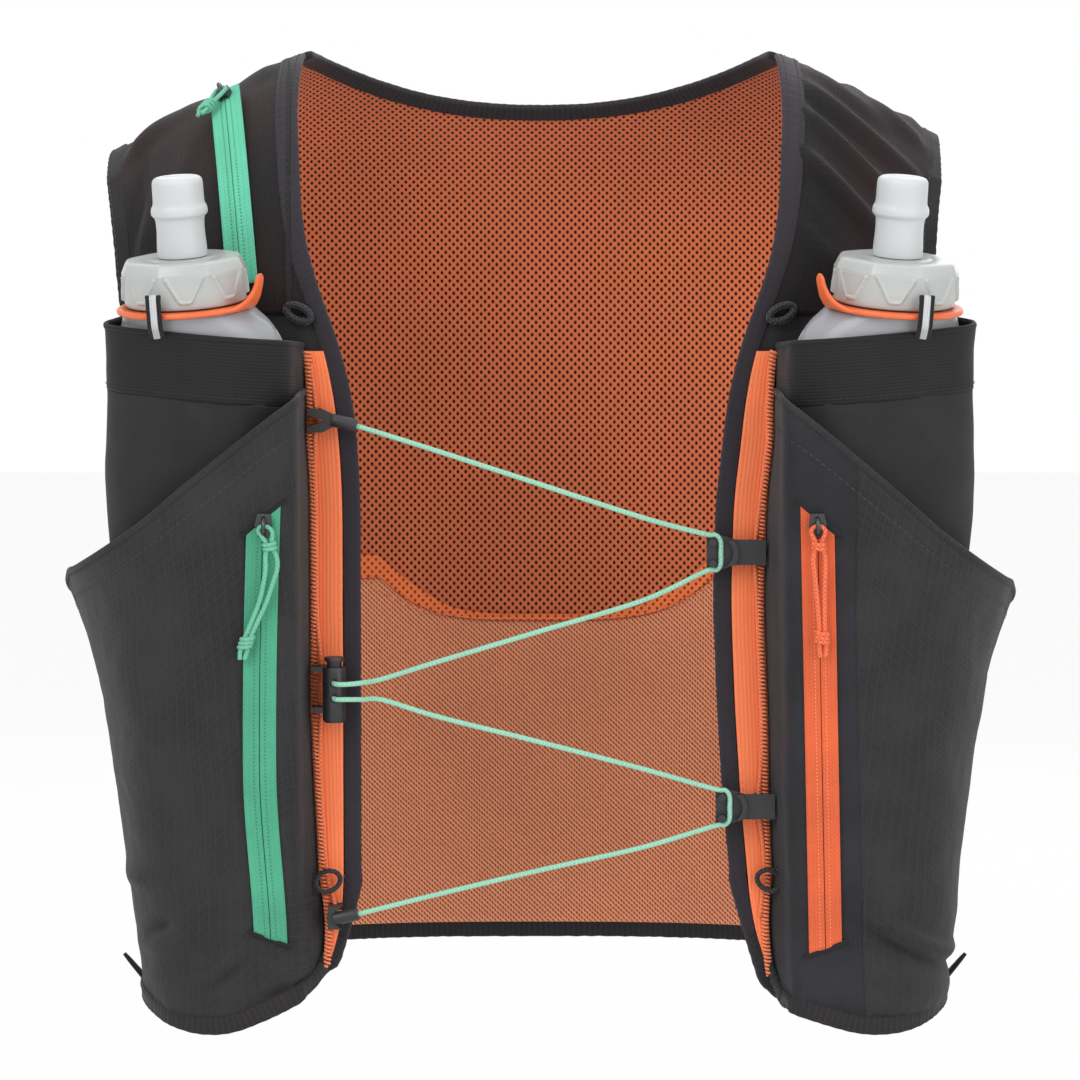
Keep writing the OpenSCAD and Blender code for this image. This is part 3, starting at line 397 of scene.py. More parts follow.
class Shader:
    """A material with a Principled shader and short calls for its nodes."""

    def __init__(self, name, **sockets):
        self.mat = bpy.data.materials.new(name)
        self.mat.use_nodes = True
        self.tree = self.mat.node_tree
        self.tree.nodes.clear()
        out = self.tree.nodes.new("ShaderNodeOutputMaterial")
        self.bsdf = self.tree.nodes.new("ShaderNodeBsdfPrincipled")
        self.tree.links.new(self.bsdf.outputs[0], out.inputs[0])
        for key, value in sockets.items():
            self.put(self.bsdf, key.replace("_", " "), value)

    def put(self, node, key, value):
        socket = node.inputs[key]
        if isinstance(value, bpy.types.NodeSocket):
            self.tree.links.new(value, socket)
        else:
            socket.default_value = value

    def add(self, kind, *inputs, out=0, named=(), **settings):
        """A node's output. inputs go to its first sockets, named ones to sockets by name."""
        node = self.tree.nodes.new("ShaderNode" + kind)
        for key, value in settings.items():
            setattr(node, key, value)
        for key, value in list(enumerate(inputs)) + list(dict(named).items()):
            self.put(node, key, value)
        return node.outputs[out]

    def math(self, op, a, b=0.0, c=0.0):
        return self.add("Math", a, b, c, operation=op)

    def uv(self):
        """The cloth's two lengths in millimetres."""
        split = self.tree.nodes.new("ShaderNodeSeparateXYZ")
        self.tree.links.new(self.add("UVMap", uv_map="cloth"), split.inputs[0])
        return split.outputs[0], split.outputs[1]

    def wave(self, value, pitch, shift=0.0):
        """A wave from 0 to 1 along a length."""
        s = self.math("SINE", self.math("MULTIPLY_ADD", value, math.tau / pitch, shift))
        return self.math("MULTIPLY_ADD", s, 0.5, 0.5)

    def step(self, value, low, high, to_low=0.0, to_high=1.0):
        return self.add("MapRange", value, low, high, to_low, to_high, interpolation_type="SMOOTHSTEP")

    def noise(self, scale, detail=3.0, rough=0.5):
        sockets = {"Vector": self.add("TexCoord", out=3), "Scale": scale, "Detail": detail, "Roughness": rough}
        return self.add("TexNoise", named=sockets)

    def blend(self, factor, a, b):
        return self.add("Mix", out=2, data_type="RGBA", named={0: factor, 6: a, 7: b})

    def cloudy(self, code, dark, painted_highlight, scale, detail=4.0, rough=0.6, low=0.3, high=0.72):
        """Soft clouds, and a colour that they vary between two shades."""
        cloud = self.noise(scale, detail, rough)
        return cloud, self.blend(self.step(cloud, low, high), shade(code, dark), shade(code, painted_highlight))

    def painted_shade_and_highlight(self, height, base, painted_shade, share, painted_highlight):
        """A painted shade in the hollows and a painted highlight on the ridges."""
        return self.blend(height, self.blend(share, base, painted_shade), self.blend(0.6, base, painted_highlight))

    def finish(self, colour, gloss, rough, height, strength, distance):
        """Colour, roughness that follows gloss between two values, and relief."""
        self.put(self.bsdf, "Base Color", colour)
        self.put(self.bsdf, "Roughness", self.step(gloss, 0.0, 1.0, *rough))
        relief = {"Strength": strength, "Distance": distance * MM, "Height": height}
        self.put(self.bsdf, "Normal", self.add("Bump", named=relief))
        return self.mat


def fabric(name, sheen=0.08, spread=0.5, specular=0.2):
    """Shader of a cloth, and the cloth's two lengths."""
    s = Shader(name, Sheen_Weight=sheen, Sheen_Roughness=spread, Specular_IOR_Level=specular)
    return (s,) + s.uv()


def woven(name, code, pitch, grid=0.0, bump=0.5, tone=0.28, tint=None):
    """Plain weave with an optional ripstop grid of thicker threads."""
    s, u, v = fabric(name, spread=0.45)
    warp, weft = s.wave(u, pitch), s.wave(v, pitch)
    height = s.math("MAXIMUM", s.math("MULTIPLY", warp, s.wave(v, pitch * 2)),
                    s.math("MULTIPLY", weft, s.wave(u, pitch * 2, math.pi / 2)))
    if grid:
        rib = s.math("MAXIMUM", s.step(s.wave(u, grid), 0.9, 1.0), s.step(s.wave(v, grid), 0.9, 1.0))
        height = s.math("MAXIMUM", height, s.math("MULTIPLY", rib, 1.25))
    cloud, worn = s.cloudy(code, 1 - tone, 1 + tone, 38.0)
    if tint:
        spread = s.math("MULTIPLY", s.step(s.noise(13.0, 2.0), 0.42, 0.66), 0.75)
        worn = s.blend(spread, worn, rgb(tint))
    # Painted highlight: the raised threads and the ripstop ribs get a lighter colour
    colour = s.blend(s.math("MULTIPLY", height, 0.45), worn, shade(code, 1.55))
    return s.finish(colour, cloud, (0.72, 0.92), height, bump, 0.22)


def knit(name, code, pitch_u, pitch_v, painted_highlight=1.5):
    """Fine stretch knit: rows of slanting loops."""
    s, u, v = fabric(name)
    slant = s.math("MULTIPLY", s.math("PINGPONG", u, pitch_u / 2), pitch_v / pitch_u)
    loops = s.math("MULTIPLY", s.wave(s.math("ADD", v, slant), pitch_v), s.wave(u, pitch_u / 2))
    cloud, base = s.cloudy(code, 0.78, 1.22, 45.0)
    # Painted highlight: the raised loops get a lighter colour
    colour = s.blend(s.math("MULTIPLY", loops, 0.5), base, shade(code, painted_highlight))
    return s.finish(colour, cloud, (0.72, 0.92), loops, 0.55, 0.25)


def ribbed(name, code, pitch, along_u=True, bump=0.6, painted_shade=0.72, painted_highlight=1.14):
    """Elastic webbing: ribs with fine cross threads."""
    s, u, v = fabric(name)
    across, along = (u, v) if along_u else (v, u)
    ribs = s.wave(across, pitch)
    height = s.math("MULTIPLY_ADD", s.wave(along, 0.8), 0.25, ribs)
    cloud, base = s.cloudy(code, 0.93, 1.06, 60.0, 3.0, high=0.7)
    # Painted shade in the hollows between the ribs and a painted highlight on the ribs
    colour = s.painted_shade_and_highlight(ribs, base, shade(code, painted_shade), 0.75, shade(code, painted_highlight))
    return s.finish(colour, cloud, (0.66, 0.86), height, bump, 0.2)


def mesh_cloth(name, code, pitch, hole, dark, painted_highlight, dashes=False):
    """Open mesh over dark cloth: staggered holes between rounded threads."""
    s, *uv = fabric(name, 0.15)
    distance = None
    for shift in (0.0, 0.5):
        du, dv = (s.math("SUBTRACT", s.math("FRACT", s.math("MULTIPLY_ADD", w, 1 / p, shift)), 0.5)
                  for w, p in zip(uv, pitch))
        if dashes:
            dv = s.math("MULTIPLY_ADD", du, 0.9, dv)
        squares = [s.math("POWER", s.math("MULTIPLY", w, p / h), 2.0)
                   for w, p, h in zip((du, dv), pitch, hole)]
        d = s.math("SQRT", s.math("ADD", *squares))
        distance = d if distance is None else s.math("MINIMUM", distance, d)
    solid = s.step(distance, 0.72, 1.12)
    crown = s.step(distance, 0.9, 1.9)
    _, base = s.cloudy(code, 0.88, 1.1, 22.0, rough=0.55)
    thread = s.noise(900.0, 2.0, 0.6)
    base = s.blend(s.step(thread, 0.25, 0.75), s.blend(0.5, base, shade(code, 0.72)), base)
    # Painted highlight: the crowns of the threads between the holes get a lighter colour
    lit = s.blend(crown, base, s.blend(0.6, base, rgb(painted_highlight)))
    height = s.math("ADD", solid, s.math("MULTIPLY", crown, 0.4))
    return s.finish(s.blend(solid, rgb(dark), lit), solid, (0.95, 0.78), height, 0.8, 0.5)


def braided(name, code, turn, strands=4, painted_highlight=1.2, painted_shade=0.6):
    """Braided cord: two sets of strands that cross."""
    s, u, v = fabric(name, 0.25, 0.4, 0.3)
    a, b = (s.wave(s.math("MULTIPLY_ADD", u, way * strands / turn, v), 1.7) for way in (1, -1))
    height = s.math("MAXIMUM", s.math("MULTIPLY", a, a), s.math("MULTIPLY", b, b))
    _, base = s.cloudy(code, 0.92, 1.06, 80.0, 3.0, 0.5, high=0.7)
    # Painted shade between the strands and a painted highlight on their tops
    colour = s.painted_shade_and_highlight(s.step(height, 0.2, 0.9), base, shade(code, painted_shade), 0.7, shade(code, painted_highlight))
    return s.finish(colour, height, (0.7, 0.5), height, 0.6, 0.25)


def moulded(name, code, rough=(0.38, 0.55), grain=1400.0, bump=0.12, tone=0.12, **sockets):
    """Moulded plastic with a fine grain and slightly rubbed colour."""
    s = Shader(name, **sockets)
    fine = s.noise(grain, 2.0, 0.6)
    cloud, colour = s.cloudy(code, 1 - tone, 1 + tone, 55.0, low=0.32, high=0.7)
    return s.finish(colour, cloud, rough, fine, bump, 0.12)


def silky(amount, radius=(0.005, 0.005, 0.005)):
    """Sockets of a plastic that light goes a little way into."""
    return {"Subsurface_Weight": amount, "Subsurface_Radius": radius, "Subsurface_Scale": 1.0}


MAT = {
    "ripstop": woven("black_ripstop", "#2b2b2c", 1.15, 4.4),
    "yoke": woven("yoke_ripstop", "#1a1819", 1.0, 3.4, tint="#2e1c1d"),
    "stretch": knit("black_stretch", "#282829", 1.5, 1.1),
    "storage": knit("storage_knit", "#29292b", 2.4, 1.9, painted_highlight=1.7),
    "band": ribbed("black_elastic", "#202022", 1.3, along_u=False, bump=0.35, painted_shade=0.75, painted_highlight=1.25),
    "black_tape": ribbed("black_binding", "#202022", 1.1, painted_shade=0.65, painted_highlight=1.35),
    "hem_tape": ribbed("hem_binding", "#2b282a", 2.4, along_u=False, bump=0.5, painted_shade=0.72, painted_highlight=1.2),
    "navy_panel": woven("navy_panel", "#29282c", 0.9),
    "navy_tape": ribbed("navy_binding", "#302c32", 1.1, bump=0.3, painted_shade=0.86, painted_highlight=1.12),
    "mesh": mesh_cloth("orange_mesh", "#d2673f", (3.4, 3.6), (0.62, 0.8), "#2c0d06", "#e07f55"),
    "fine_mesh": mesh_cloth("salmon_mesh", "#ee9268", (2.3, 2.2), (0.42, 0.52), "#a84a28", "#f4ae8a",
                            dashes=True),
    "bright_mesh": mesh_cloth("bright_mesh", "#f56c34", (3.4, 3.6), (0.5, 0.62), "#8a3216", "#ff8f56"),
    "elastic": ribbed("orange_elastic", "#fb8354", 1.5, bump=0.35, painted_shade=0.88, painted_highlight=1.06),
    "loops": braided("orange_overlock", "#ff8a5c", 3.0, 2, painted_shade=0.75),
    # The left pocket zip has the same tape as the shoulder zip; this copy is darker as painted shade
    "teal_tape": woven("teal_tape", "#4a9a7b", 0.95, tone=0.14, bump=0.6),
    "mint_tape": woven("mint_tape", "#5eb798", 0.95, tone=0.08, bump=0.4),
    "orange_tape": woven("orange_tape", "#cc5d39", 0.95, tone=0.14, bump=0.6),
    "teal_cord": braided("teal_cord", "#6cba9b", 5.6, painted_highlight=1.06, painted_shade=0.86),
    "orange_cord": braided("orange_cord", "#ee7048", 5.6),
    "mint_cord": braided("mint_cord", "#93cdb3", 7.5, painted_highlight=1.08, painted_shade=0.85),
    "rail_cord": braided("rail_cord", "#f07a4c", 6.3),
    "black_cord": braided("black_cord", "#262628", 6.3, painted_highlight=1.6),
    "thread": moulded("black_thread", "#333338", (0.6, 0.8)),
    "dark_thread": moulded("dark_thread", "#1b1b1e", (0.6, 0.8)),
    "orange_thread": moulded("orange_thread", "#f28a5e", (0.6, 0.8)),
    "teal_thread": moulded("teal_thread", "#2f7d62", (0.6, 0.8)),
    "reflective": ribbed("reflective_tape", "#c4c6c8", 0.9, painted_shade=0.85, painted_highlight=1.1),
    "grey_plastic": moulded("grey_plastic", "#2d2b30"),
    "black_plastic": moulded("black_plastic", "#242427"),
    "slider": moulded("slider_metal", "#4c4d50", (0.25, 0.42), 900.0, 0.08, Metallic=0.85),
    "steel": moulded("spring_steel", "#b9bcc0", (0.2, 0.35), 900.0, 0.05, Metallic=1.0),
    "cap": moulded("cap_plastic", "#b3b6b4", (0.26, 0.32), 700.0, 0.02, 0.02, IOR=1.46, **silky(0.35)),
    "film": moulded("flask_film", "#b4b7bc", (0.14, 0.22), 500.0, 0.04, 0.04, Transmission_Weight=0.3,
                    IOR=1.35),
    "valve": moulded("valve_silicone", "#c6c9ca", (0.34, 0.42), 900.0, 0.02, 0.02, IOR=1.42, **silky(0.4)),
    "seal": moulded("seal_silicone", "#c9cccd", (0.4, 0.5)),
    "ring": moulded("ring_silicone", "#e26a38", (0.36, 0.44), 900.0, 0.03, 0.04,
                    **silky(0.2, (0.004, 0.002, 0.001))),
}

# Thickness of the cloths
THICK = {"mesh": 1.1, "fine_mesh": 1.1, "bright_mesh": 0.5, "yoke": 0.9, "storage": 1.0, "stretch": 1.0,
         "band": 1.4, "ripstop": 0.9, "navy_panel": 0.9, "elastic": 1.1, "teal_tape": 0.7, "orange_tape": 0.7,
         "mint_tape": 0.7}
COVER_THICK = 0.6


# Camera, light and floor

CAMERA_AWAY, CAMERA_RAISED = 2.2, math.radians(5)
SENSOR, FOCAL_SHARE = 36, 5300 / 1080
LAMPS = (("key", (-1.3, -2.2, 1.7), 1.8, 40), ("fill", (1.7, -2.0, 0.7), 2.0, 27),
         ("top", (0.1, 0.3, 2.2), 1.6, 12), ("rim", (0.4, 2.2, 1.0), 2.0, 14))
FLOOR_HALF, FLOOR_Z = 6, -0.42
WHITE = (1, 1, 1, 1)


def seen_directly(tree):
    """1 for rays that show the background itself: from the camera, off gloss or through clear plastic."""
    path = tree.nodes.new("ShaderNodeLightPath")
    total = path.outputs["Is Camera Ray"]
    for kind in ("Is Glossy Ray", "Is Transmission Ray"):
        most = tree.nodes.new("ShaderNodeMath")
        most.operation = "MAXIMUM"
        tree.links.new(total, most.inputs[0])
        tree.links.new(path.outputs[kind], most.inputs[1])
        total = most.outputs[0]
    return total


def two_shaders(tree, output, lights, seen):
    """Empties a tree and shows one shader where it lights the scene and the other where it is seen."""
    tree.nodes.clear()
    kinds = (output, "MixShader", lights, seen)
    out, pick, first, second = (tree.nodes.new("ShaderNode" + kind) for kind in kinds)
    tree.links.new(first.outputs[0], pick.inputs[1])
    tree.links.new(second.outputs[0], pick.inputs[2])
    tree.links.new(pick.outputs[0], out.inputs[0])
    return pick.inputs[0], first, second


def studio():
    scene = bpy.context.scene
    scene.view_settings.view_transform = "Standard"
    camera = bpy.data.objects.new("camera", bpy.data.cameras.new("camera"))
    scene.collection.objects.link(camera)
    camera.location = (0, -CAMERA_AWAY * math.cos(CAMERA_RAISED), CAMERA_AWAY * math.sin(CAMERA_RAISED))
    camera.rotation_euler = (math.pi / 2 - CAMERA_RAISED, 0, 0)
    camera.data.sensor_width = SENSOR
    camera.data.lens = SENSOR * FOCAL_SHARE
    scene.camera = camera

    for name, at, size, watts in LAMPS:
        lamp = bpy.data.lights.new(name, "AREA")
        lamp.energy = watts
        lamp.size = size
        obj = bpy.data.objects.new(name, lamp)
        obj.location = at
        obj.rotation_euler = (-Vector(at)).to_track_quat("-Z", "Y").to_euler()
        scene.collection.objects.link(obj)

    world = bpy.data.worlds.new("studio")
    scene.world = world
    world.use_nodes = True
    share, soft, seen = two_shaders(world.node_tree, "OutputWorld", "Background", "Background")
    world.node_tree.links.new(seen_directly(world.node_tree), share)
    soft.inputs[0].default_value = WHITE
    soft.inputs[1].default_value = 0.6
    seen.inputs[0].default_value = WHITE

    white = bpy.data.materials.new("floor_white")
    white.use_nodes = True
    tree = white.node_tree
    share, paint, _ = two_shaders(tree, "OutputMaterial", "BsdfDiffuse", "Emission")
    paint.inputs[0].default_value = (0.86, 0.86, 0.86, 1)
    part = tree.nodes.new("ShaderNodeMath")
    part.operation = "MULTIPLY"
    part.inputs[1].default_value = 0.9
    tree.links.new(seen_directly(tree), part.inputs[0])
    tree.links.new(part.outputs[0], share)
    mesh = bpy.data.meshes.new("floor")
    corners = [(-1, -1), (1, -1), (1, 1), (-1, 1)]
    mesh.from_pydata([(FLOOR_HALF * x, FLOOR_HALF * y, FLOOR_Z) for x, y in corners], [], [(0, 1, 2, 3)])
    mesh.materials.append(white)
    floor = bpy.data.objects.new("floor", mesh)
    scene.collection.objects.link(floor)


studio()


# Back panels

def seam_x(z):
    """Where the front and back panels meet the side wings."""
    return SEAM_SHARE * half_width(z) - 0.6


def panel_reach(side, z):
    return mix(seam_x(z), table(z, ARMHOLE[side], 6) - 4.6, smooth((np.asarray(z, float) + 8) / 16))


def back_x(f, z):
    return f * np.where(f < 0, panel_reach("left", z), panel_reach("right", z))


def neck_line(x):
    return NECK_Z + 21 * (np.abs(x) / 96) ** 2.2


def back_top(x):
    crest = SHOULDER_Z + 0.992 * crest_h(x) - 0.6
    neck = np.minimum(neck_line(np.minimum(np.abs(x), 100)) + 0.6, crest)
    return mix(neck, crest, smooth((np.abs(x) - 92) / 10))


def mesh_seam(x):
    return -44 + 19 * np.minimum(1, (x / 77) ** 4)


def back_grid(top, bottom, rows, cols, ease=1.0, out=0.0, reach=1.0):
    """Grid on the back between two heights, each given as a number or by x."""
    f = np.linspace(-1, 1, cols)[None] * reach
    t = np.linspace(0, 1, rows)[:, None] ** ease
    x0 = back_x(f, ARMHOLE_TOP)
    top, bottom = (edge(x0) if callable(edge) else edge for edge in (top, bottom))
    z = mix(top, bottom, t)
    return back_point(back_x(f, z), z) + [0, out, 0]


def back_uv(g):
    """Lengths along the torso, across from the middle and up from the hem."""
    x, z = g[..., 0], g[..., 2]
    s = np.linspace(0, 1, 60)[:, None, None]
    rise = mix(HEM_Z, z, s)
    across, up = (np.sum(np.hypot(np.diff(p, axis=0), np.diff(back_y(*q), axis=0)), axis=0)
                  for p, q in ((s * x, (s * x, z)), (rise, (x, rise))))
    return np.stack([across * np.sign(x), up], -1)


COVER_FOOT = 62
STORAGE_SHAPE = (90, 111)
STORAGE_FOLDS = [(-90, 40, -20, -10, 9, 1.6), (95, 30, 30, -30, 10, 1.5), (-70, -60, 10, -40, 8, 1.2),
                 (60, -90, -15, -70, 9, 1.3), (-100, -110, -50, -140, 8, 1.4), (100, -100, 45, -138, 8, 1.3),
                 (0, 50, 5, 10, 12, -1.2)]
STORAGE_SEAMS = (18, 55, 92)


def back_meshes():
    upper = back_grid(back_top, mesh_seam, 90, 121, 1.7)
    sheet("back_mesh_upper_cloth", upper, "mesh", "back_mesh_upper", uv=back_uv(upper))
    lower = back_grid(lambda x: mesh_seam(x) + 0.2, HEM_Z + 2.5, 60, 121)
    sheet("back_mesh_lower_cloth", lower, "fine_mesh", "back_mesh_lower", uv=back_uv(lower))

    # The double layer above the seam shows brighter through the mesh
    def double_top(x):
        return mesh_seam(x) + table(np.abs(x), [(20, 2.8), (43, 3.8), (60, 8.5), (80, 10)], 5)

    double = back_grid(double_top, mesh_seam, 8, 121, 1.0, -1.3, 0.97)
    sheet("mesh_seam_cloth", double, "bright_mesh", uv=back_uv(double))
    x = np.linspace(-140, 140, 160)
    seam = back_point(x, mesh_seam(x) + 1) - [0, 2.2, 0]
    stitches("seam_thread", seam, [0, -1, 0], "orange_thread", 2.6, 1.8)


def back_outside():
    """Outer cover over the shoulder blades, and the stretch pocket below it."""
    rows, ease = 60, 2.4
    cover = back_grid(lambda x: back_top(x) - 0.1, COVER_FOOT, rows, 81, ease)
    loose = smooth(np.linspace(0, 1, rows)[:, None] ** ease / 0.21)
    cover = push(cover, -0.3 - loose * (1.7 + np.abs(0.7 * ripple(cover, 40, 3))))
    sheet("back_cover_cloth", cover, "yoke", thick=COVER_THICK)

    rows, cols = STORAGE_SHAPE
    f = np.linspace(-1, 1, cols)[None]
    w = np.linspace(0, 1, rows)[:, None]
    z = mix(COVER_FOOT, HEM_Z + 8, w)
    x = f * (panel_reach("right", z) - 10)
    bulge = 15 * (1 - f * f) ** 0.6 * np.sin(math.pi * mix(0.08, 1, w)) ** 0.6
    from_side = np.minimum(1, (1 - np.abs(f)) * 12)
    off = 1.3 + 1.7 * from_side
    g = back_point(x, z) + xyz(0, off + bulge, 0)
    inside = np.minimum(1, np.minimum(w * 14, (1 - w) * 14)) * from_side
    g = push(g, (creases(x, z, STORAGE_FOLDS) + 0.9 * ripple(g, 26, 1)) * inside)
    sheet("back_storage_cloth", g, "storage", "back_storage_panel")
    out = [0, 1, 0]
    sweep("storage_edge_tape", g[0] + [0, 0.7, 0], out, tape(9, 1.6), "band")
    stitches("storage_edge_thread", g[0] + [0, 1.6, -3], out, "thread", 3.0)
    for k, at in enumerate(STORAGE_SEAMS):
        line = g[2:-2, at] + [0, 1.1, 0]
        sweep(f"storage_seam_{k}", line, out, tape(3.2, 0.9), "black_tape")
        stitches(f"storage_seam_thread_{k}", line + [0, 0.5, 0], out, "thread", 3)


# Bindings

PUCKER_PITCH = 5.0
UNIT_WIDE, UNIT_THICK = 10, 2.0
HEM_START = {"left": 80, "right": 87.5}
EDGE_LIFT = 0.7
ARMHOLE_IN = 3.2
ARMHOLE_LEVELS = (150, 130, 105, 80, 55, 30, 10)


def pucker(count, length, depth, seed):
    """Small swelling along a sewn binding."""
    run = np.linspace(0, length, count)
    wob = np.array([noise.noise(Vector((r / 9.0, seed, 0.3))) for r in run])
    return 1 + depth * np.sin(math.tau * run / PUCKER_PITCH + 2 * wob) + 0.06 * wob


def binding(name, path, refs, width, thick, mat, thread, node=None, closed=False, seed=0.0, rows=(0.3,),
            depth=0.06):
    """A folded tape sewn over a cloth edge, with its thread. rows are shares of the width."""
    path = np.asarray(path, float)
    swell = pucker(len(path), length_of(path), depth, seed)
    wide = np.broadcast_to(np.asarray(width, float), (len(path),)) / UNIT_WIDE
    sweep(name, path, refs, tape(UNIT_WIDE, UNIT_THICK), mat, closed=closed, node=node,
          scale=np.stack([wide * (0.5 + 0.5 * swell), swell * thick / UNIT_THICK], 1))
    across, up = frames(path, refs)
    for k, share in enumerate(rows):
        line = path + across * (share * wide[:, None] * UNIT_WIDE) + up * (thick / 2 + 0.02)
        stitches(f"{name}_thread_{k}", line, up, thread, 3.0, 1.9, 0.5)


def edge_route(side):
    """From behind the shoulder line down the front edge and along the front hem."""
    a = np.radians(np.linspace(97, 4, 38))
    z = SHOULDER_Z + 102 * np.sin(a)
    x = edge_x(side, z) + table(z, [(100, 4.4), (196, 4.8)])
    over = xyz(x, -shoulder_r(x) * np.cos(a), SHOULDER_Z + (crest_h(x) - 0.5) * np.sin(a))
    z = np.linspace(101, -134, 60)
    straight = front_point(edge_x(side, z) + table(z, [(60, 3.2), (100, 4.4)], 8), z)
    start = HEM_START[side]
    x = np.linspace(start + 2, 140, 44)
    slope = np.gradient(hem_z(side, x), x)
    hem = front_point(x, hem_z(side, x) + 2.7 * np.sqrt(1 + slope ** 2) + 3 * smooth((x - start - 6) / 10))
    return curve_through(np.vstack([over, straight, hem])[::2], 400)


def armhole_route(side):
    def level(point, z):
        return point(table(z, ARMHOLE[side]) - ARMHOLE_IN, z)

    front = [level(front_point, z) for z in ARMHOLE_LEVELS]
    under = [round_torso(a, -10.0) for a in (-24, -12, 0, 12, 24)]
    rear = [level(back_point, z) for z in ARMHOLE_LEVELS[::-1]]
    tip = float(table(ARMHOLE_TOP, ARMHOLE[side])) - ARMHOLE_IN
    crest = [np.array([tip, 0, SHOULDER_Z + crest_h(tip)])]
    loop = even(curve_through(np.array(front + under + rear + crest + front[:2]), 900), 420)
    # The line runs a little past its start, and the overlap is cut to close the loop
    gap = np.linalg.norm(loop[300:] - loop[0], axis=1)
    return even(np.vstack([loop[:300 + int(np.argmin(gap))], loop[:1]]), 301)[:-1]


def bindings():
    x = np.linspace(-98.5, 98.5, 170)
    share = 1 - (x / 98.5) ** 4
    z = np.minimum(neck_line(x) + 0.4 - 1.9 * share, SHOULDER_Z + crest_h(x) - 0.05)
    line = lifted(back_point(x, z), -0.3)
    binding("neck_binding_tape", line, torso_normal(line), 8.0, 3.0, "hem_tape", "dark_thread",
            "neck_binding", rows=(-0.3,), depth=0.03)
    line = round_torso(np.linspace(-24, 204, 260), HEM_Z, 0.6)
    binding("back_hem_tape", line, torso_normal(line), 8.4, 2.6, "hem_tape", "dark_thread",
            "back_hem_binding", seed=2, rows=(-0.3,))
    count = 330
    wide = table(np.linspace(0, 1, count), [(0, 10), (0.2, 9.6), (0.32, 7.2), (1, 7.0)])
    for n, side in enumerate(SIDES):
        path = flip(lifted(even(edge_route(side), count), EDGE_LIFT), side)
        binding(f"edge_binding_{side}_tape", path, torso_normal(path), wide, 2.5, "navy_tape", "dark_thread",
                f"edge_binding_{side}", seed=3 + n, rows=(0.28, -0.28))
        loop = flip(lifted(armhole_route(side), EDGE_LIFT), side)
        binding(f"armhole_binding_{side}_tape", loop, torso_normal(loop), 7.6, 2.4, "black_tape", "thread",
                f"armhole_binding_{side}", closed=True, seed=6 + n)


# Shoulders, fronts and sides

def front_inner(side, z):
    return edge_x(side, z) + 6.6 + table(z, [(-150, 4), (-125, 0)])


YOKE_FOLDS = {
    "left": [(100, 198, 124, 186, 2.4, 1.5), (128, 188, 166, 160, 2.6, 2.0), (136, 188, 170, 170, 2.4, 1.6),
             (150, 174, 172, 152, 2.4, 1.8), (104, 182, 110, 116, 3.4, 0.9), (150, 150, 162, 104, 4, 1.6),
             (140, 165, 150, 112, 4, 1.2), (158, 160, 164, 112, 3.4, -1.2)],
    "right": [(96, 196, 152, 150, 2.3, 2.6), (104, 196, 140, 170, 2.6, 2.2), (126, 186, 158, 160, 2.4, 2.4),
              (97, 186, 150, 132, 2.6, 3.0), (97, 168, 142, 122, 2.8, 3.2), (98, 160, 136, 116, 3.2, -1.6),
              (100, 188, 150, 144, 2.6, -1.4), (140, 182, 158, 168, 2.2, 1.8), (98, 140, 122, 106, 3.4, 1.8),
              (118, 196, 130, 184, 2.4, 1.6), (112, 126, 136, 104, 3.4, 1.4)]}


YOKE_LIFT = 0.3
FRONT_FOOT = -146.0
WING_TOP = -11


def over_shoulder(x, a, out=0.0, share=1):
    """Points over the shoulder at an angle up from the front. share scales the depth."""
    y = -(shoulder_r(x) + out) * share * np.cos(a)
    return xyz(x, y, SHOULDER_Z + (crest_h(x) + out) * np.sin(a))


def yoke(side, n, f):
    turn = np.linspace(106, 0, 118)[:, None]
    a = np.radians(turn)
    over = smooth((turn - 92) / 10)
    z0 = SHOULDER_Z + YOKE_LIFT + 96 * np.sin(a)
    z1 = SHOULDER_Z + YOKE_LIFT + crest_h(panel_reach(side, ARMHOLE_TOP)) * np.sin(a)
    x = mix(front_inner(side, z0) - 3 * over, panel_reach(side, z1), f)
    g = over_shoulder(x, a, share=np.where(turn > 90, BACK / FRONT, 1)) + [0, 0, YOKE_LIFT]
    calm = np.minimum(1, np.minimum(f, 1 - f) * 7 + 0.15)
    folds = np.maximum(1.5 * creases(g[..., 0], g[..., 2], YOKE_FOLDS[side]), -1.2)
    # Behind the shoulder line it lies over the back cover
    g = push(g, (folds + 0.6 * ripple(g, 22, 4 + n)) * calm * (1 - over) + 1.1 * over)
    sheet(f"yoke_{side}_cloth", g, "yoke", f"yoke_{side}", side)


def front_panel(side, n, f):
    t = np.linspace(0, 1, 70)[:, None]
    z0 = mix(SHOULDER_Z + 4, FRONT_FOOT, t)
    x0 = mix(front_inner(side, z0), panel_reach(side, z0), f)
    z = z0 + (hem_z(side, x0) + 7.4 - FRONT_FOOT) * t ** 3
    g = front_point(np.where(z > 0, x0, np.minimum(x0, seam_x(z))), z)
    # The top edge is tucked under the yoke
    g = push(g, 0.35 * ripple(g, 20, 6 + n) - 1.6 * smooth((z0 - 92) / 6))
    sheet(f"front_panel_{side}_cloth", g, "stretch", f"front_panel_{side}", side)


def side_wing(side, n):
    angle = math.degrees(math.acos(SEAM_SHARE ** (POWER / 2))) + 1.2
    a = np.linspace(-angle, angle, 40)[None]
    rows = 60
    # The corners rise under the armhole binding
    top = WING_TOP + 14 * smooth((163 - round_torso(a, float(WING_TOP))[..., 0]) / 5)
    z = mix(top, HEM_Z + 3.5, np.linspace(0, 1, rows)[:, None])
    g = round_torso(a, z)
    g = push(g, 0.6 + 0.5 * ripple(g, 24, 8 + n) * np.sin(np.linspace(0, math.pi, rows))[:, None])
    sheet(f"side_wing_{side}_cloth", g, "stretch", f"side_wing_{side}", side)


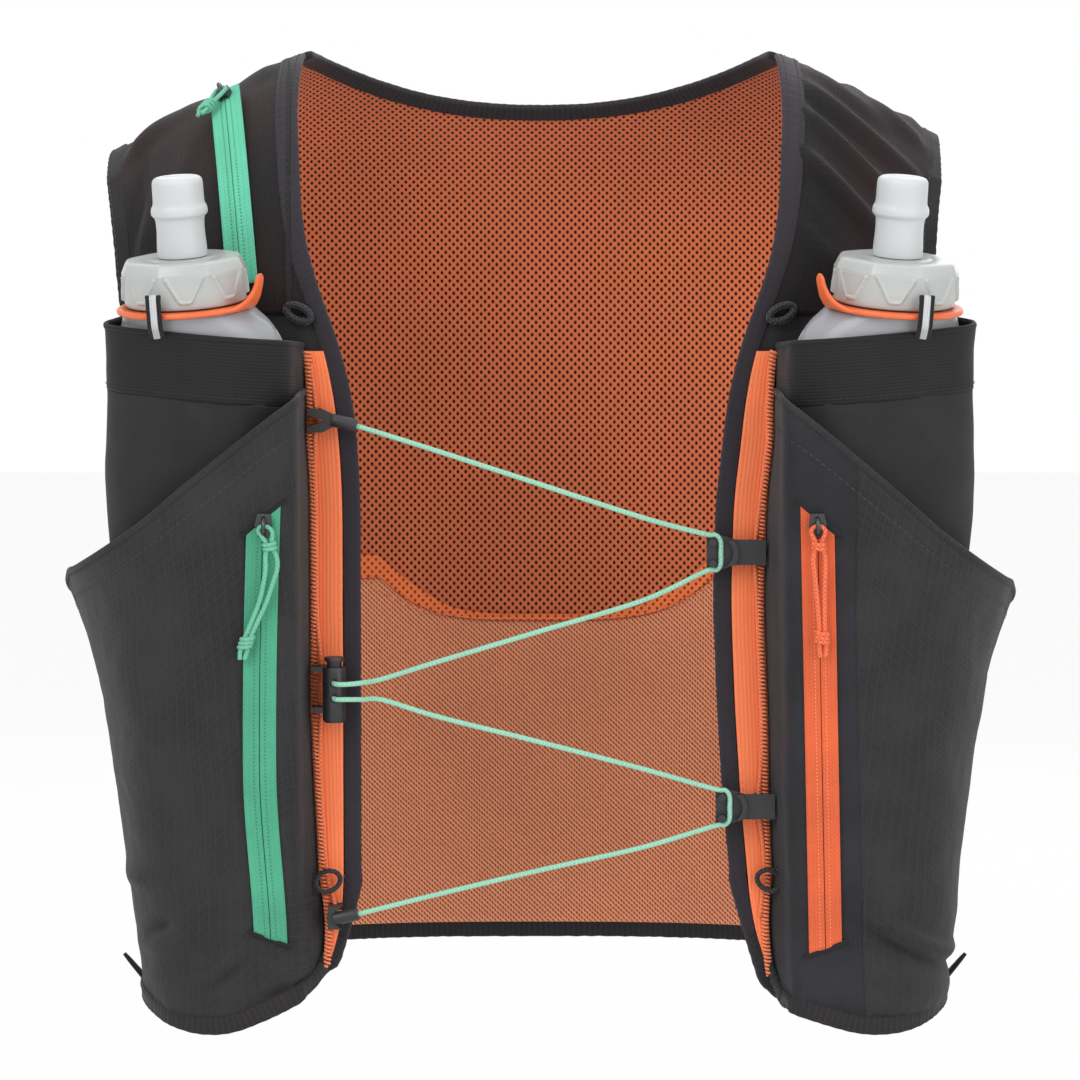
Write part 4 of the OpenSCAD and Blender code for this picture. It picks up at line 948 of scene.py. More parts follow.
def fronts():
    f = np.linspace(0, 1, 72)[None]
    for n, side in enumerate(SIDES):
        yoke(side, n, f)
        front_panel(side, n, f)
        side_wing(side, n)
    # Seam down the left shoulder
    a = np.radians(np.linspace(84, 2, 60))
    line = flip(over_shoulder(103 - 4 * np.cos(a), a, 1.5), "left")
    up = torso_normal(line)
    sweep("shoulder_seam_tape", line, up, tape(2.6, 0.9), "black_tape")
    stitches("shoulder_seam_thread", line + up * 0.6, up, "dark_thread", 3.2)


# Flask pockets. The flask frame has its origin on the flask axis at the bottom of the cap.

def turned(axis, degrees):
    return np.array(Matrix.Rotation(math.radians(degrees), 3, axis))


NECK = np.array([138.0, -125, 104])
FLASK_FACING = 15
FLASK_TURN = turned("Y", 3.5) @ turned("X", 6) @ turned("Z", FLASK_FACING)
FLASK_AXIS = FLASK_TURN[:, 2]
SLEEVE = [(-80, 22.5, 1), (-64, 26.5, 4.5), (-46, 28, 9), (-22, 30.5, 13.5), (5, 33.5, 18), (22, 34.5, 19),
          (120, 34.5, 19)]
SLEEVE_EASE = 1.4
SQUARENESS = 0.86
BAND = 25.0
POCKET_CREASES = [(112, 70, 120, 20, 5, 0.7), (150, 72, 146, 30, 6, 0.8), (165, 60, 158, 5, 6, 1.2),
                  (110, 50, 135, 30, 7, 0.8), (168, 40, 140, 15, 6, 1.0)]


def flask_world(points, side):
    return flip(np.asarray(points, float) @ FLASK_TURN.T + NECK, side)


def flask_shift(height):
    """Sideways set of the flask towards the middle of the chest, below its neck."""
    return table(height, [(-110, 2), (-75, 0), (-45, -2), (-20, -4.4), (-8, -3), (-2.4, -0.6), (-2, 0)], 1)


def sleeve_shift(z):
    return table(z, [(-10, 3), (25, 1), (60, -2), (84, -4)], 5)


def around_flask(a, z):
    wide, thick = (half_axis(z, SLEEVE, k, 8) + SLEEVE_EASE for k in (1, 2))
    c, s = math.cos(math.radians(FLASK_FACING)), math.sin(math.radians(FLASK_FACING))
    centre = NECK + FLASK_AXIS * (z - NECK[2]) / FLASK_AXIS[2]
    a = math.radians(a)
    across = wide * spow(math.sin(a), SQUARENESS) + sleeve_shift(z)
    forward = thick * spow(math.cos(a), SQUARENESS)
    return centre + across * np.array([c, s, 0]) + forward * np.array([s, -c, 0])


def sleeve_row(side, z, cols):
    """One row of the pocket: inner seam, round the flask, outer seam."""
    inner = float(pocket_inner(side, min(z, 60))) + 1.2
    outer = min(float(panel_reach(side, z)) - 2, 157)

    def seam(x):
        return front_point(x, z) - [0, 3.0, 0]

    hug = smooth((z + 84) / 30)
    bowed = [seam(inner)] + [around_flask(a, z) for a in np.linspace(-98, 98, 15)] + [seam(outer)]
    flat = [seam(x) for x in np.linspace(inner, outer, len(bowed))]
    return curve_through(mix(np.array(flat), np.array(bowed), hug), cols)


def flask_pockets():
    cols = 81
    share = np.linspace(0, 1, cols)
    top = mix(86.5, 98.5, share)
    levels = np.linspace(100, -80, 112)
    edge = np.minimum(1, np.minimum(share, 1 - share) * 9)[None]
    for n, side in enumerate(SIDES):
        stack = np.array([sleeve_row(side, z, cols) for z in levels])

        def row(drop):
            """Row of points at a distance below the slanting top edge."""
            return np.vstack([sampled([drop - top[j]], -levels, stack[:, j]) for j in range(cols)])

        drops = np.concatenate([np.linspace(BAND - 0.5, 60, 30), np.linspace(62, 165, 34)])
        body = np.array([row(d) for d in drops])
        folds = creases(body[..., 0], body[..., 2], POCKET_CREASES)
        body = push(body, (folds + 0.5 * ripple(body, 16, 10 + n)) * edge)
        sheet(f"flask_pocket_{side}_cloth", body, "stretch", f"flask_pocket_{side}", side)
        band = np.array([row(d) for d in np.linspace(0, BAND, 22)])
        band = push(band, (0.35 * ripple(band, 9, 12 + n)) * edge)
        sheet(f"flask_band_{side}_cloth", band, "band", f"flask_pocket_band_{side}", side)
        out = flip(grid_normals(band)[0], side)
        sweep(f"flask_band_{side}_edge", flip(row(0.4), side) + out * 0.7, out, tape(2.6, 2.0), "black_tape")
        seam = flip(row(BAND - 2.2), side) + out * 1.45
        stitches(f"flask_band_{side}_thread", seam[3:-3], out[3:-3], "dark_thread", 2.6, 1.7, 0.45)


# Lower pockets. Both sections are plans of the pocket's wall, from its inner to its outer edge.

TOP_SECTION = np.array([[93.6, -108], [94, -136], [97, -149], [116, -149.5], [138, -149], [157, -142],
                        [172, -124], [183, -96], [189, -66], [189, -44], [183, -31]])
LOW_SECTION = np.array([[96, -101], [97.5, -111], [100, -118], [119, -118], [131, -117], [142, -112],
                        [150, -102], [156, -86], [158, -66], [157, -48], [154, -40]])
SECTION_TOP, SECTION_DROP = 50, 235.0
RIGHT_SHIFT = [4, 4, 4, 4, 3.4, 3.4, 3.6, 4, 4, 4, 4]
TOP_SLOPE = {"left": 0.79, "right": 0.84}
FLARE = [0, 0, 0, 0, 0, 0, 0.35, 0.7, 0.85, 1, 0]
ZIP_TOP = 27
ZIP_LOW = {"left": -149, "right": -153}


def lower_pocket_xy(side, j, z):
    t = (SECTION_TOP - z) / SECTION_DROP
    p = mix(TOP_SECTION[j], LOW_SECTION[j], t)
    if side == "right":
        p = p + [RIGHT_SHIFT[j] * t, 0]
    return p


def zip_mid(side, z):
    p = (lower_pocket_xy(side, 2, z) + lower_pocket_xy(side, 3, z)) / 2
    return np.array([p[0], p[1] - 1.7, z])


def pocket_inner(side, z):
    """Inner edge of the lower pocket, sewn down beside the strip."""
    return strip_inner(side, z) + strip_width(z) + 2.4


def lower_pocket_point(side, j, t):
    top = 68 - TOP_SLOPE[side] * (TOP_SECTION[min(j, 8)][0] - 93.6) - 9 * max(0, j - 8)
    foot = LOW_SECTION[j][0] if j > 1 else mix(float(pocket_inner(side, -165)), LOW_SECTION[2][0], j / 2)
    z = mix(top, float(hem_z(side, foot)) + 3, t)
    xy = lower_pocket_xy(side, max(j, 2), z)
    if j == 10:
        xy = np.array([0.989 * float(half_width(z)) + 1.2, -28])
    if j < 2:
        x = float(pocket_inner(side, z))
        xy = mix(np.array([x, float(front_y(x, z)) - 2.2]), xy + [-1.2, -1.0], j / 2)
    return np.array([xy[0] + 9 * max(0.0, 1 - t / 0.3) ** 1.3 * FLARE[j], xy[1], z])


POCKET_FOLDS = {
    "left": [(118, 40, 165, -10, 10, 0.9), (150, -20, 172, -60, 9, 1.6), (120, -160, 150, -176, 7, 2.4),
             (112, -150, 150, -158, 8, -1.3), (140, -60, 166, -90, 9, 1.2), (100, -20, 100, -120, 4, 0.6),
             (128, 20, 150, -60, 12, 0.8), (166, -128, 150, -124, 4, 2.4), (158, -150, 145, -141, 3.6, -3.2),
             (158, -155, 138, -147, 4, 2.2), (134, -170, 115, -156, 2.6, -2.2),
             (138, -166, 117, -151, 3, 1.8), (113, -173, 93, -165, 2.4, -1.6)],
    "right": [(118, 40, 170, -12, 10, 0.9), (160, -30, 176, -70, 9, 1.4), (130, -157, 166, -176, 7, 2.6),
              (126, -146, 158, -160, 8, -1.3), (148, -70, 168, -110, 9, 1.2), (132, 10, 140, -100, 12, 0.8),
              (158, -120, 164, -158, 7, 1.4), (127, -137, 167, -160, 2.8, 3.4),
              (127, -142, 166, -166, 3.0, -2.6), (112, -168, 150, -176, 4, 1.5)]}


POCKET_COLS, WALL_ROWS, UNDER_ROWS = 121, 110, 16
PANEL_PAST_ZIP = 15


def lower_pocket_row(side, t):
    return curve_through([lower_pocket_point(side, j, t) for j in range(len(TOP_SECTION))], POCKET_COLS)


def lower_pocket_under(side, share):
    """A row of the underside, from the foot of the wall back to the vest."""
    p = lower_pocket_row(side, 1.0)
    x, y, z = p.T
    at = ((x / half_width(z)) ** POWER + (-y / FRONT) ** POWER) ** (1 / POWER)
    seam = p * xyz(1.035 / at, 1.035 / at, 1)
    behind = front_point(x, z) - [0, 1.6, 0]
    seam = mix(behind, seam, smooth((p[:, :1] - 115) / 25))
    seam[:, 2] = np.maximum(z, hem_z(side, seam[:, 0]) + 5)
    return mix(p, seam, share) - [0, 0, 2 * np.sin(math.pi * share)]


def lower_pocket_cloth(side, n, base):
    """The pocket's grid with its folds."""
    share = np.linspace(0, 1, POCKET_COLS)[None]
    down = np.concatenate([np.linspace(0, 1, WALL_ROWS), np.ones(UNDER_ROWS)])[:, None]
    calm = np.minimum(1, share * 9 + 0.05) * np.minimum(1, (1 - share) * 9 + 0.05)
    calm = calm * np.minimum(1, down * 10 + 0.15)
    folds = creases(base[..., 0], base[..., 2], POCKET_FOLDS[side])
    # The cloth lies flat beside the zip
    low = ZIP_LOW[side]
    zip_x = np.interp(base[..., 2], [low, ZIP_TOP], [zip_mid(side, z)[0] for z in (low, ZIP_TOP)])
    beside = np.exp(-((base[..., 0] - zip_x) / 12) ** 4)
    calm = calm * (1 - 0.9 * beside * smooth((base[..., 2] - low + 12) / 10))
    # The cloth is gathered into the hem
    gather = 0.22 * np.sin(share * math.tau * 21 + 3 * np.sin(share * 17)) * smooth((down - 0.93) / 0.07)
    waves = 0.8 * ripple(base, 30, 14 + n) + 0.35 * ripple(base, 9, 16 + n)
    return push(base, (1.4 * folds + waves) * calm + gather)


def pocket_hem(side, n, base):
    """Hem binding, from the front edge round the foot of the pocket to its side seam."""
    x = float(edge_x(side, -150))
    lead = flip(lifted(front_point(np.array([x + 5.2, x + 8.6]), np.array([-149.0, -157])), 1.4), side)
    face = flip(grid_normals(base)[WALL_ROWS - 4], side)[4::5]
    foot = flip(base[WALL_ROWS - 1], side)[4::5] + face * 0.9 + [0, 0, 0.6]
    count = 320
    path = curve_through(np.vstack([lead, foot]), count)
    face = np.vstack([torso_normal(lead), face])
    along = np.linspace(0, 1, count)
    refs = unit(sampled(along * (len(face) - 1), np.arange(len(face)), face))
    wide = 7.4 * table(along, [(0, 0.7), (0.06, 1), (1, 1)])
    binding(f"pocket_hem_{side}_tape", path, refs, wide, 2.6, "hem_tape", "dark_thread", seed=9 + n,
            rows=(0.3, -0.3), depth=0.03)


def lower_pockets():
    for n, side in enumerate(SIDES):
        base = np.array([lower_pocket_row(side, t) for t in np.linspace(0, 1, WALL_ROWS) ** 0.95]
                        + [lower_pocket_under(side, s) for s in np.linspace(0.06, 1, UNDER_ROWS)])
        g = lower_pocket_cloth(side, n, base)
        # The right pocket has a navy panel from the strip to beyond the zip
        half = base[WALL_ROWS // 2]
        beyond = np.abs(half[:, 0] - zip_mid(side, half[0, 2])[0] - PANEL_PAST_ZIP)
        split = int(np.argmin(beyond)) if side == "right" else 0
        sheet(f"lower_pocket_{side}_cloth", g[:, split:], "ripstop", f"lower_pocket_{side}", side)
        if split:
            sheet("navy_panel_cloth", g[:, :split + 1], "navy_panel", side=side)
        out = flip(grid_normals(g), side)
        world = flip(g, side)
        sweep(f"lower_pocket_{side}_hem", world[0] + out[0] * 0.5, out[0], tape(3.0, 2.2), "ripstop")
        seam, up = world[5][2:-2], out[5][2:-2]
        stitches(f"lower_pocket_{side}_thread", seam + up * 0.95, up, "thread", 3.0, 2.0, 0.45)
        pocket_hem(side, n, base)


# Elastic strips, their overlocked edge and the rail cords

STRIP_FOOT = {"left": -161, "right": -165}
STRIP_STEPS = 12
HOOKS = {"left": (57, -41, -57, -140), "right": (5, -96)}
OVERLOCK_PITCH, OVERLOCK_R = 1.55, 0.55
OVERLOCK_OVAL = (1.25, 0.85)


def strip_width(z):
    return table(z, [(-162, 0.4), (-148, 4), (-125, 8.4), (-60, 11.5), (50, 11.5), (84, 7)], 4)


def strip_inner(side, z):
    return edge_x(side, z) + 7.0


def rail_line(side, z):
    """Where a rail cord runs. The hooks draw it in from the strip's edge and off the cloth."""
    drawn = np.clip(sum(np.exp(-((z - h) / 13.0) ** 2) for h in HOOKS[side]), 0, 1)
    edge = np.interp(z, [-150, -125, -60, 50, 84], [2, 8.05, 11.5, 11.5, 6.9])
    x = strip_inner(side, z) + edge - 1.3 - 1.5 * drawn
    return front_point(x, z) - xyz(0, 5.0 + 1.2 * drawn, 0)


def strips():
    forward = [0, -1, 0]
    for side in SIDES:
        z = np.concatenate([np.linspace(84, -120, 90), np.linspace(-122, STRIP_FOOT[side], 20)])
        # The last step reaches under the overlocked edge
        f = np.append(np.linspace(0, 1, STRIP_STEPS + 1), 1.14)
        x = strip_inner(side, z)[:, None] + f[None] * strip_width(z)[:, None]
        g = front_point(x, z[:, None]) - [0, 1.9, 0]
        g = push(g, 0.5 * np.sin(math.pi * f)[None] + 0.25 * ripple(g, 14, 20))
        sheet(f"elastic_strip_{side}_cloth", g, "elastic", f"elastic_strip_{side}", side)
        line = even(flip(g[:, STRIP_STEPS] - [0.4, 3.2, 0], side), 2000)
        spin = np.linspace(0, math.tau * length_of(line) / OVERLOCK_PITCH, len(line))
        across, up = frames(line, forward)
        wide, thick = OVERLOCK_OVAL
        coil = line + across * (wide * np.cos(spin))[:, None] + up * (thick * np.sin(spin))[:, None]
        sweep(f"strip_{side}_overlock", coil, up, ring(OVERLOCK_R, 5), "loops")
        rail = flip(rail_line(side, np.linspace(79, -141, 260)), side)
        sweep(f"rail_cord_{side}_braid", rail, [0, 1, 0], ring(0.85, 12), "rail_cord",
              node=f"rail_cord_{side}")
        seam = flip(g[:, 1] - [0, 1.15, 0], side)
        stitches(f"strip_{side}_thread", seam, forward, "orange_thread", 3.0, 2.0, 0.45)


# Flasks

FLASK_RINGS = [(-168, 25.5, 2.6), (-155, 26.5, 6), (-130, 29.5, 12), (-100, 32.5, 17), (-70, 34.5, 19),
               (-26, 34.5, 19), (-15, 33.4, 19.4), (-9, 30.4, 20), (-5, 27.4, 21), (-2.4, 25.4, 21.6),
               (14, 19.5, 19.5)]
FLASK_SOFT = 2.4
NECK_R, NECK_FOOT = 19.4, -2.4
FILM_THICK = 0.9
RING_PROFILE = [(20.1, -0.5), (20.1, -2.7), (26.2, -2.8), (26.9, -2.5), (27.2, -2.0), (27.2, -1.3),
                (26.9, -0.8), (26.2, -0.5), (25.4, -0.45)]
RING_TAB = [(24.6, -1.7), (27.6, -1.2), (31.0, 0.6), (34.0, 3.6), (36.4, 8.0), (37.6, 12.4)]
TAB_FACING = math.radians(200)
FACETS = 8
CAP_PROFILE = ([(20.6, 0.0), (23.0, 0.0), (23.5, 0.5), (23.6, 1.2)]
               + [(23.55 + 0.11 * h, h) for h in np.linspace(1.7, 12.6, 48)]
               + [(25.1, 13.0), (25.15, 13.4), (25.0, 13.9), (24.2, 15.6), (23.6, 16.8), (23.2, 17.3),
                  (22.4, 17.6), (20.0, 17.75), (16.0, 17.8), (14.6, 17.6), (13.6, 17.6), (12.6, 17.8),
                  (11.6, 17.9), (8.0, 17.95), (4.2, 18.0), (4.1, 17.6), (4.1, 16.2), (6, 15.95), (14, 15.9),
                  (19.8, 15.85), (20.0, 15.4), (20.1, 8), (20.2, 0.4)])
VALVE_OUTSIDE = [(5.2, 18.1), (9.3, 18.15), (9.7, 19.0), (9.7, 22), (9.4, 28), (9.5, 32), (9.9, 33.6),
                 (10.9, 34.8), (11.05, 36.2), (10.8, 37.6), (10.2, 38.8), (10.0, 41), (9.95, 46.2),
                 (9.6, 48.2), (8.4, 49.2), (6.2, 49.45), (2.0, 49.5), (0.05, 49.5)]
VALVE_INSIDE = [(0.05, 47.2), (6.6, 46.6), (7.2, 45), (7.2, 22), (5.6, 20.4)]
KEEPER_ROUTE = [(18.2, -15), (19.0, -12.8), (21.0, -10.4), (24.4, -8.0), (27.6, -5.6), (28.8, -3.2),
                (29.2, 0.4), (29.3, 3.4), (29.2, 5.4), (28.6, 6.6), (27.8, 6.6), (27.4, 5.4)]
FILM_ROWS = ((13.6, -2.0, 8), (-2.8, -30, 26), (-34, -168, 40))


def revolve(name, profile, mat, body, side, node, cols, bend=None):
    """A closed profile of (radius, height) turned about the flask axis. bend changes the radius."""
    profile = np.asarray(profile, float)
    a = circle(cols)
    r, h = (np.repeat(profile[:, k:k + 1], cols, 1) for k in (0, 1))
    if bend:
        r = bend(r, h, a[None] + 0 * r)
    verts = xyz(r * np.cos(a), r * np.sin(a), h)
    faces = grid_faces(len(profile), cols, wrap_rows=True, wrap_cols=True)
    if side == "left":
        faces = [f[::-1] for f in faces]
    uv = np.stack([np.repeat(np.linspace(0, 150, cols)[None], len(profile), 0), h], -1)
    make(name, flask_world(verts.reshape(-1, 3), side), faces, mat, body, uv.reshape(-1, 2), node)


def flask_film(side):
    h = np.concatenate([np.linspace(*span) for span in FILM_ROWS])[:, None]
    neck = h > NECK_FOOT
    wide, thick = (np.where(neck, NECK_R, half_axis(h, FLASK_RINGS, k, FLASK_SOFT)) for k in (1, 2))
    a = circle(96)[None]
    power = np.where(neck, 1.0, mix(1.0, SQUARENESS, smooth((-h - 5) / 20)))
    dent = 1 + 0.012 * np.sin(5 * a + 0.05 * h) * smooth((-h - 12) / 25)
    x = wide * spow(np.cos(a), power) * dent + flask_shift(h)
    y = thick * spow(np.sin(a), power) * dent
    verts = xyz(x, y, h)
    rows, cols = verts.shape[:2]
    faces = grid_faces(rows, cols, wrap_cols=True) + [tuple((rows - 1) * cols + j for j in range(cols))]
    if side == "right":
        faces = [f[::-1] for f in faces]
    obj = make(f"flask_{side}_film", flask_world(verts.reshape(-1, 3), side), faces, "film", f"flask_{side}",
               node=f"flask_body_{side}")
    solid = obj.modifiers.new("wall", "SOLIDIFY")
    solid.thickness = FILM_THICK * MM
    solid.offset = -1
    # Welded side seams of the film
    z = np.linspace(-12, -160, 60)
    for k, s in enumerate((-1, 1)):
        edge = s * (half_axis(z, FLASK_RINGS, 1, FLASK_SOFT) + 0.1)
        seam = xyz(edge + flask_shift(z), 0, z)
        sweep(f"flask_{side}_weld_{k}", flask_world(seam, side), flip(FLASK_TURN[:, 1], side),
              tape(1.6, 0.7, 4), "film", f"flask_{side}")


def flask_ring(side):
    revolve(f"flask_{side}_ring", RING_PROFILE, "ring", f"flask_{side}", side, f"flask_ring_{side}", 96)
    out = np.array([math.cos(TAB_FACING), math.sin(TAB_FACING), 0])
    count = 40
    path = curve_through([out * r + [0, 0, h] for r, h in RING_TAB], count)
    refs = np.cross(np.gradient(path, axis=0), [-out[1], out[0], 0])
    share = np.linspace(0, 1, count)
    wide = table(share, [(0, 2.3), (0.2, 1.7), (0.4, 1.1), (0.7, 0.62), (0.95, 0.5), (1, 0.15)], 0.03)
    thick = table(share, [(0, 1.0), (0.3, 1.0), (0.9, 0.75), (1, 0.3)], 0.03)
    sweep(f"flask_{side}_tab", flask_world(path, side), flip(refs @ FLASK_TURN.T, side), tape(8, 2.0, 6),
          "ring", f"flask_{side}", scale=np.stack([wide, thick], 1))


def grip(r, h, a):
    """Flats round the cap's rim, and on each side face a raised panel with a ridge, narrow at its foot."""
    turn = math.tau / FACETS
    local = (a + turn / 2 + 0.32) % turn - turn / 2
    flat = math.cos(turn / 2) / np.cos(local)
    rim = smooth((h - 4) / 9) * smooth((r - 12) / 5)
    face = (r > 22.2) * smooth((h - 1.4) / 0.9)
    wide = mix(2.6, 7.8, np.clip((h - 2.6) / 9.6, 0, 1))
    along = np.abs(local) * 24
    slope = 0.7
    inside = smooth((wide - along) / slope) * smooth((h - 2.2) / slope) * (1 - smooth((h - 12.4) / slope))
    ridge = inside * (1 - smooth((wide - along - 1.0) / slope) * smooth((h - 3.6) / slope))
    return r * mix(1.0, mix(1.0, flat, 0.55), rim) + face * (0.35 * inside + 0.75 * ridge)


def flask_cap(side):
    body = f"cap_{side}"
    revolve(f"flask_{side}_cap", CAP_PROFILE, "cap", body, side, f"flask_cap_{side}", 240, grip)
    profile = list(curve_through(VALVE_OUTSIDE, 110)) + VALVE_INSIDE
    revolve(f"flask_{side}_valve", profile, "valve", body, side, f"bite_valve_{side}", 64)
    slit = flask_world([[x, 0, 49.45] for x in np.linspace(-5.4, 5.4, 20)], side)
    sweep(f"flask_{side}_slit", slit, flip(FLASK_AXIS, side), tape(0.7, 0.3, 4), "seal", body)
    dressed(f"cap_seal_{side}", "seal")


def keeper(side):
    """Elastic tape with a reflective stripe, from the pocket's edge under the ring and up beside the cap."""
    path = curve_through([[3.4 + 0.27 * (29 - y), -y, z] for y, z in KEEPER_ROUTE], 70)
    refs = np.cross([1.0, 0, 0], np.gradient(path, axis=0))
    world, up = flask_world(path, side), flip(unit(refs) @ FLASK_TURN.T, side)
    sweep(f"flask_keeper_{side}_tape", world, up, tape(6.2, 0.9, 5), "black_tape",
          node=f"flask_keeper_{side}")
    sweep(f"flask_keeper_{side}_stripe", world + up * 0.34, up, tape(2.8, 0.5, 4), "reflective")


def flasks():
    for side in SIDES:
        flask_film(side)
        flask_ring(side)
        flask_cap(side)
        keeper(side)


# Zips. A flat zip runs down -Y from its head, with Z out of the cloth.

ZIP_HALF = 6.5
ZIP_COLOURS = {"left": "teal", "right": "orange"}
PULL_AT = [0, -8, 4.5]
PULLS = {"left": (46, 7, [(0, 0), (5, -2.4), (16, -4.2), (30, -1), (46, 5.5), (54, 7)]),
         "right": (44, 8, [(0, 0), (50, 1)])}
SHOULDER_PULL = (12, 5, [(2.4, 0), (20, 12.3)])
ARC_R, ARC_START, ARC_SPAN, SLIDER_AT = 94.6, 75, 66, 69
ARC_CENTRE = [123, -4.9, SHOULDER_Z - 3.4]
CORD_R = 0.9


def zip_frame(side):
    top, low = zip_mid(side, ZIP_TOP), zip_mid(side, ZIP_LOW[side])
    run = low - top
    pitch = 90 - math.degrees(math.atan2(-run[1], -run[2]))
    turn = turned("X", pitch) @ turned("Z", math.degrees(math.atan2(run[0], -run[2])))
    return top, turn, float(np.linalg.norm(run))


def pocket_zip_place(side):
    top, turn, long = zip_frame(side)

    def place(p):
        """The left tape bows a little away from the middle of the chest, and its foot swings back."""
        p = np.asarray(p, float)
        down = np.clip(-p[..., 1:2] / long, 0, 1)
        bow = (1.6 * np.sin(math.pi * down) - 3.0 * smooth((down - 0.6) / 0.4)) * [1.0, 0, 0]
        return flip((p + bow * (side == "left")) @ turn.T + top, side)
    return place


# The arc's own frame has X forward, Y up and Z towards the middle
ARC_TO_ROW = np.array([[0, 0, -1], [-1, 0, 0], [0, 1, 0]], float)
ARC_SLANT = turned(Vector((math.cos(math.radians(44)), math.sin(math.radians(44)), 0)), -6)
ARC_FLAT = turned("Z", 90) @ turned("X", 90) @ turned("X", 22) @ turned("Z", -90)


def shoulder_place(p, angle):
    """Places a point of the flat zip at an angle of the arc over the left shoulder."""
    p = np.asarray(p, float) @ ARC_FLAT.T + [ARC_R, 0, 0]
    return flip(p @ turned("Z", angle).T @ ARC_SLANT.T @ ARC_TO_ROW.T + ARC_CENTRE, "left")


def shoulder_bent(p):
    """The flat zip laid on the arc: its length turns into an angle."""
    p = np.asarray(p, float)
    out = [shoulder_place([x, 0, z], ARC_START + math.degrees(y / ARC_R)) for x, y, z in p.reshape(-1, 3)]
    return np.array(out).reshape(p.shape)


def raised(place, line):
    """Outward direction at points of a flat zip."""
    return place(line + np.array([0, 0, 1.0])) - place(line)


def zip_tapes(name, place, length, rows, tape_mat, thread, cut):
    """Two tape halves that meet in a low ridge, with the thread beside the coil. cut slants the ends."""
    up = raised(place, np.array([[0, -length / 2, 0.0]]))[0]
    for k, s in enumerate((-1, 1)):
        x = s * np.linspace(0.1, ZIP_HALF, 16)
        y = np.linspace(0, 1, rows)[:, None]
        run = mix(-cut(x)[None], -length + 0.4 * cut(x)[None], y)
        g = place(xyz(x, run, 0.1 + 0.7 * np.exp(-(x / 2.1) ** 2)))
        half = sheet(f"{name}_half_{k}", g, tape_mat, None if k else name)
        if half.data.polygons[rows].normal.dot(up) < 0:
            half.data.flip_normals()
        line = xyz(s * 2.1, np.linspace(-6, -length + 3, rows), 1.1)
        stitches(f"{name}_thread_{k}", place(line), raised(place, line), thread, 1.5, 0.8, 0.42, 0.2)


def free_cord(cord, path, diameter, far_end, lay, **pieces):
    length_of(path) * MM


def pull(name, place, leg, tail, drift, mat, node):
    """A cord through the slider's bail, knotted at its foot. drift holds its sideways set by distance."""
    tied = leg > 20
    half = [(0.9, -leg - tail), (1.3, -leg - 0.5 * tail), (1.0, -leg), (1.5 if tied else 1.9, -leg * 0.6),
            (2.3 if tied else 2.6, -leg * 0.3)] + [(1.0, -7.5)] * tied + [(2.6, -2.4), (2.0, -0.7), (1.0, 0)]
    route = curve_through([(x, y, 0) for x, y in half + [(-x, y) for x, y in half[::-1]]], 170)
    route[:, 0] += table(-route[:, 1], drift, 3)
    path = place(route)
    out = unit(raised(place, np.zeros((1, 3)))[0])
    cord = sweep(f"{name}_cord", path, out, ring(CORD_R), mat, name, node=node)
    knots = []
    for k, (at, turns) in enumerate([(leg, 2.6)] + [(7.5, 1.8)] * tied):
        spin = np.linspace(0, math.tau * turns, 90)
        down = -at + np.linspace(-0.8, 0.8, len(spin)) * turns
        wrap = xyz(table(-down, drift, 3) + 2.15 * np.cos(spin), down, 1.75 * np.sin(spin))
        along = unit(place(wrap + [0, 1, 0]) - place(wrap))
        knots.append(sweep(f"{name}_knot_{k}", place(wrap), along, ring(0.85), mat, name))
    free_cord(cord, path, 0.0018, "knot", "hanging", with_pieces=knots)


def slanted(x):
    return 6.0 + 0.9 * x


def zips():
    for side, colour in ZIP_COLOURS.items():
        place = pocket_zip_place(side)
        length = zip_frame(side)[2]
        zip_tapes(f"pocket_zip_{side}", place, length, 90, f"{colour}_tape", f"{colour}_thread", slanted)
        pull(f"pocket_pull_{side}", lambda p: place(p + PULL_AT), *PULLS[side], f"{colour}_cord",
             f"pocket_zip_pull_{side}")
        # Slanting welts over the head and under the foot of the zip
        x = np.linspace(-8.5, 8.5, 30)
        for end, y in (("head", -slanted(x) + 0.6), ("foot", -length + 0.4 * slanted(x) - 0.4)):
            welt = xyz(x, y, 0.35)
            sweep(f"zip_{end}_welt_{side}", place(welt), raised(place, welt), tape(2.0, 1.5, 5), "black_tape")
    zip_tapes("shoulder_zip", shoulder_bent, ARC_R * math.radians(ARC_SPAN), 64, "mint_tape", "teal_thread",
              np.ones_like)
    pull("shoulder_pull", lambda p: shoulder_place(p + [0, 0, 4.7], SLIDER_AT), *SHOULDER_PULL, "teal_cord",
         "shoulder_zip_pull")


# Chest closure, loops and tabs

CHEST_Y, LOCK_X, LOCK_Y, LOCK_Z = -115, -81, -116.8, -49.0


def round_post(x, z):
    """Route of the cord round a right hook's post."""
    return [(x - 3, z + 7.4), (x + 1, z + 7.0), (x + 3.0, z + 4.8), (x + 3.2, z), (x + 3.0, z - 4.8),
            (x + 1, z - 7.0), (x - 3, z - 7.4)]


def strand(s):
    """One strand at the lock, from beside it to the turn behind it."""
    z = LOCK_Z + 3 * s
    return [(-62, z + 1.2 * s, -115.6), (-70, z + 0.3 * s, LOCK_Y - 5), (-75.5, z, LOCK_Y - 7.5),
            (-79, z, LOCK_Y - 7.8), (-80.6, z, LOCK_Y - 6.4), (LOCK_X, z, LOCK_Y - 4.6), (LOCK_X, z, LOCK_Y),
            (LOCK_X, z, LOCK_Y + 5.4), (LOCK_X, z - 0.6 * s, LOCK_Y + 7), (LOCK_X, z - 1.8 * s, LOCK_Y + 8)]


